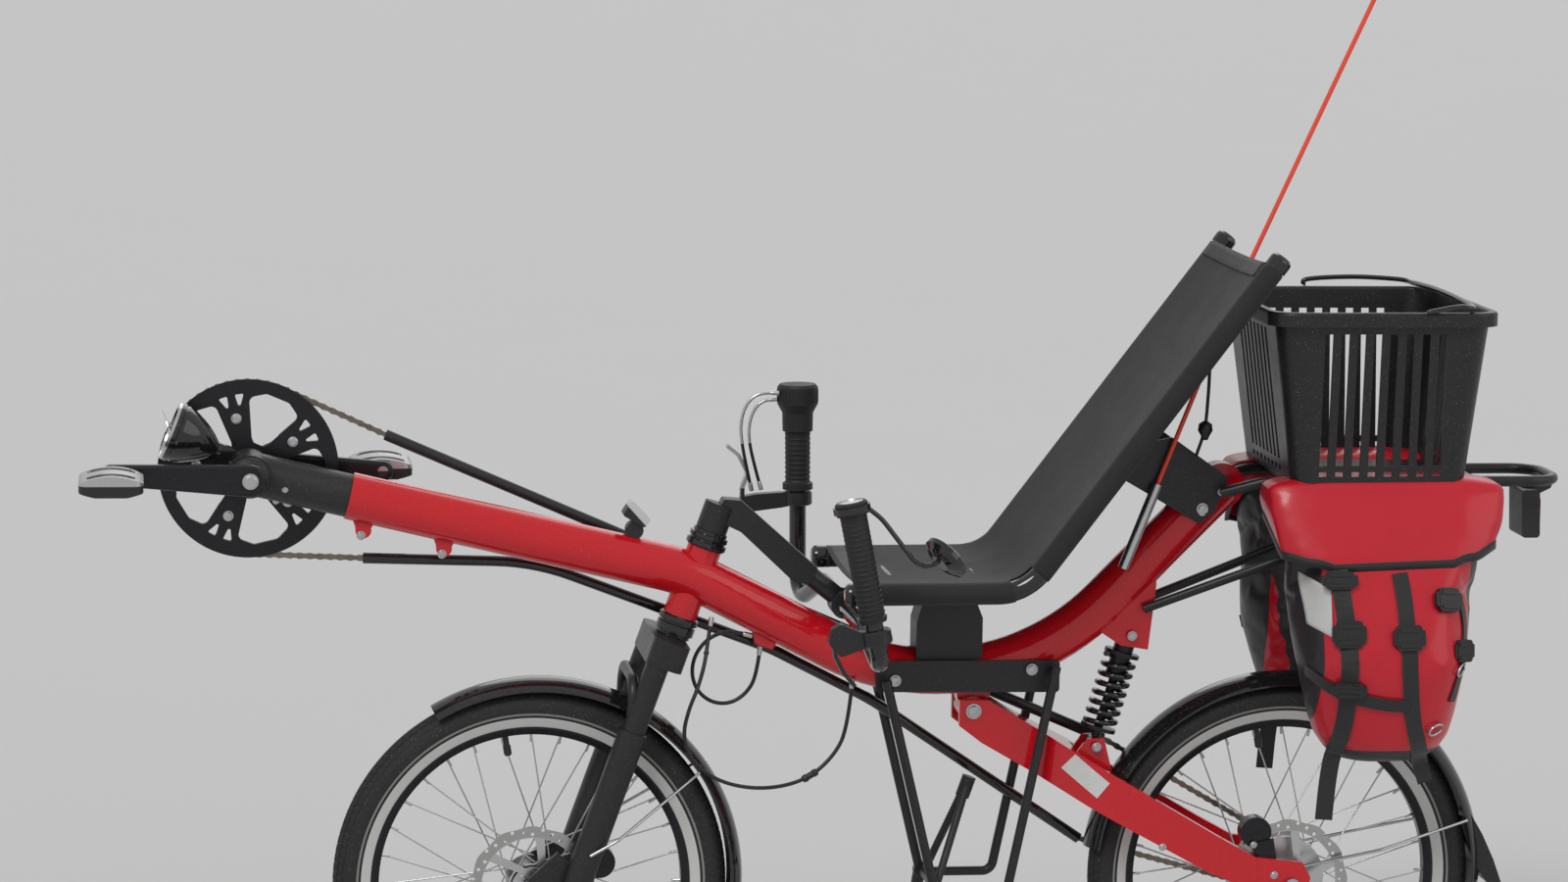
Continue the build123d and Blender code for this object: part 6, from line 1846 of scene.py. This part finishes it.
class BICYCLE_OT_controls(Operator):
    """Make the grips' ribs and caps, the shifter's grip bars, the mirror's glass and the lamps' lenses"""
    bl_idname = "bicycle.controls"
    bl_label = "Controls"

    def execute(self, context):
        for name, grip, y, low, high, radius in RIBS:
            line, _ = grip_line(grip, y, low, high, 24)
            rib = bmesh.new()
            section = ((0, -1.2), (0.5, -0.1), (1.6, 0.2), (2.7, -0.1), (3.2, -1.2))
            turned(
                rib, (-0.0016, 0, 0), (1, 0, 0),
                [(reach * MM, (radius + rise) * MM) for reach, rise in section], 28,
            )
            ribs = repeated(
                "path", path_mesh(line), mesh_of(rib), stuff("grip_rubber"), Spacing=RIB_SPACING, Up=(0, 1, 0),
            )
            piece(name, ribs, "steering")
        (_, top), way = grip_line(LEFT_GRIP, -GRIP_Y, 0, hypot(30, 145))
        cap = bmesh.new()
        turned(cap, top + way * 0.0005, way, LEFT_CAP, 40)
        piece("left_grip_cap", sharpened(mesh_of(cap)), "steering", stuff("satin_silver"))
        collar = bmesh.new()
        (_, crown), upward = grip_line(RIGHT_GRIP, GRIP_Y, 0, 134)
        turned(collar, crown + upward * 0.0045, upward, RIGHT_CAP, 40)
        piece("right_grip_cap", sharpened(mesh_of(collar)), "steering", stuff("gloss_black"))
        self.knurl(crown, upward)
        self.mirror()
        self.lamps()
        return {"FINISHED"}

    def knurl(self, crown, upward):
        """The shifter collar's grip bars."""
        bars = bmesh.new()
        side = upward.orthogonal().normalized()
        other = upward.cross(side)
        for turn in range(COLLAR_BARS):
            angle = 2 * pi * turn / COLLAR_BARS
            out = side * cos(angle) + other * sin(angle)
            centre = crown + upward * -0.009 + out * COLLAR_R
            slab(bars, rounded(0.017, 0.0022, 0.0008, 2), 0.0012, oriented(centre, upward, out))
        piece(
            "right_collar_bars", mesh_of(bars, smooth=False), "steering", stuff("grip_rubber"),
        )

    def mirror(self):
        """The mirror's glass, on the face of its housing."""
        glass = bmesh.new()
        turned(glass, MIRROR_CENTRE + MIRROR_WAY * 0.0049, MIRROR_WAY, MIRROR_GLASS, 48)
        piece("mirror_glass", sharpened(mesh_of(glass)), "steering", stuff("mirror_glass"))

    def lamps(self):
        """The headlight's lens and the two lenses of the tail light."""
        way = Vector((-cos(LAMP_DROOP), 0, -sin(LAMP_DROOP)))
        lens = bmesh.new()
        reach = (touch("headlight", LAMP_CENTRE + way * 0.08, -way) - LAMP_CENTRE).dot(way)
        foot = LAMP_CENTRE + way * (reach - 0.0006)
        turned(lens, foot, way, HEADLIGHT_LENS, 48)
        piece("headlight_lens", sharpened(mesh_of(lens)), "frame", stuff("lamp_silver"))
        rear = bmesh.new()
        for y in (-TAIL_LENS_Y, TAIL_LENS_Y):
            face_x = touch("tail_light", place(1400, y, 716), (-1, 0, 0)).x
            matrix = oriented(Vector((face_x, y * MM, 0.718)), (0, 1, 0), (1, 0, 0))
            slab(rear, rounded(TAIL_LENS_W, TAIL_LENS_H, 0.004), 0.0016, matrix)
        piece("tail_light_lenses", mesh_of(rear, smooth=False), "frame", stuff("rear_lens"))


BAIL = (
    (1023, 171, 996), (1030, 171, 1004), (1090, 172, 1007), (1150, 171, 1004), (1166, 158, 1001),
    (1170, 60, 1003), (1168, -60, 1003), (1162, -158, 1001), (1140, -171, 1003), (1100, -171, 996),
)
BAIL_R = 0.0034
ELASTIC = ((850, -60, 912), (849, -60, 880), (846, -58, 836), (838, -48, 800))
ELASTIC_R = 0.0022
KNOT_TOP = (846.5, -59, 846)
FLAP_WIDTH = 0.040
FLAP_OUTLINE = (
    (1206, 318), (1218, 330), (1236, 300), (1252, 266), (1263, 236), (1258, 229), (1244, 236), (1226, 262),
)
LABEL_MIDDLE = Vector((701.0, 393.0))
LABEL_ALONG = Vector((42.0, -35.0)).normalized()
LABEL_UP = Vector((35.0, 42.0)).normalized()
LABEL_W, LABEL_H = 56.0, 25.0
LABEL_PARTS, LABEL_ROWS = 14, 6


class BICYCLE_OT_fittings(Operator):
    """Make the basket's bail, the mudguard's flap, the blank label and the seat's elastic"""
    bl_idname = "bicycle.fittings"
    bl_label = "Fittings"

    def execute(self, context):
        wires = bmesh.new()
        tube(wires, smooth_line([place(*point) for point in BAIL], 90), BAIL_R, 8)
        piece("basket_bail", mesh_of(wires), "frame", stuff("gloss_black"))

        elastic = bmesh.new()
        tube(elastic, smooth_line([place(*point) for point in ELASTIC], 24), ELASTIC_R, 8)
        turned(elastic, place(*KNOT_TOP), (0, 0, -1), KNOT, 16)
        piece("seat_elastic", mesh_of(elastic), "frame", stuff("hose_rubber"))

        flap = bmesh.new()
        foot_x, foot_z = FLAP_OUTLINE[0]
        corners = [((x - foot_x) * MM, (z - foot_z) * MM) for x, z in FLAP_OUTLINE]
        slab(flap, corners, FLAP_WIDTH, oriented(place(foot_x, 0, foot_z), (1, 0, 0), (0, -1, 0)))
        piece("mudguard_flap", mesh_of(flap, smooth=False), "frame", stuff("black_plastic"))

        label = bmesh.new()
        rows = []
        for row in range(LABEL_ROWS + 1):
            level = []
            for part in range(LABEL_PARTS + 1):
                spot = LABEL_MIDDLE + LABEL_ALONG * LABEL_W * (part / LABEL_PARTS - 0.5)
                spot += LABEL_UP * LABEL_H * (row / LABEL_ROWS - 0.5)
                found = touch("swing_arm", place(spot.x, -200, spot.y), (0, 1, 0))
                level.append(label.verts.new(found - Vector((0, 0.0008, 0))))
            rows.append(level)
        grid_faces(label, rows)
        sticker = piece("blank_label", mesh_of(label, smooth=False), "frame", stuff("blank_label"))
        thicken(sticker, 0.0003, 0)
        return {"FINISHED"}


class BICYCLE_PT_panel(Panel):
    """Lists the sizes, the colours and the operators in the sidebar"""
    bl_label = "Recumbent Bicycle"
    bl_idname = "BICYCLE_PT_panel"
    bl_space_type = "VIEW_3D"
    bl_region_type = "UI"
    bl_category = "Bicycle"

    def draw(self, context):
        layout = self.layout
        for group in (context.scene.bicycle_sizes, context.scene.bicycle_colours):
            column = layout.column(align=True)
            for key in group.__annotations__:
                column.prop(group, key)
        for operator in STEPS:
            layout.operator(operator.bl_idname)


STEPS = (
    BICYCLE_OT_stage,
    BICYCLE_OT_finishes,
    BICYCLE_OT_seat,
    BICYCLE_OT_panniers,
    BICYCLE_OT_flag,
    BICYCLE_OT_cables,
    BICYCLE_OT_wheels,
    BICYCLE_OT_chain,
    BICYCLE_OT_screws,
    BICYCLE_OT_controls,
    BICYCLE_OT_fittings,
)
CLASSES = (BicycleColours, BicycleSizes, *STEPS, BICYCLE_PT_panel)


def register():
    for cls in CLASSES:
        bpy.utils.register_class(cls)
    bpy.types.Scene.bicycle_colours = PointerProperty(type=BicycleColours)
    bpy.types.Scene.bicycle_sizes = PointerProperty(type=BicycleSizes)


def unregister():
    del bpy.types.Scene.bicycle_sizes
    del bpy.types.Scene.bicycle_colours
    for cls in reversed(CLASSES):
        bpy.utils.unregister_class(cls)


def main():
    register()
    for operator in STEPS:
        group, name = operator.bl_idname.split(".")
        getattr(getattr(bpy.ops, group), name)()


if __name__ == "__main__":
    main()
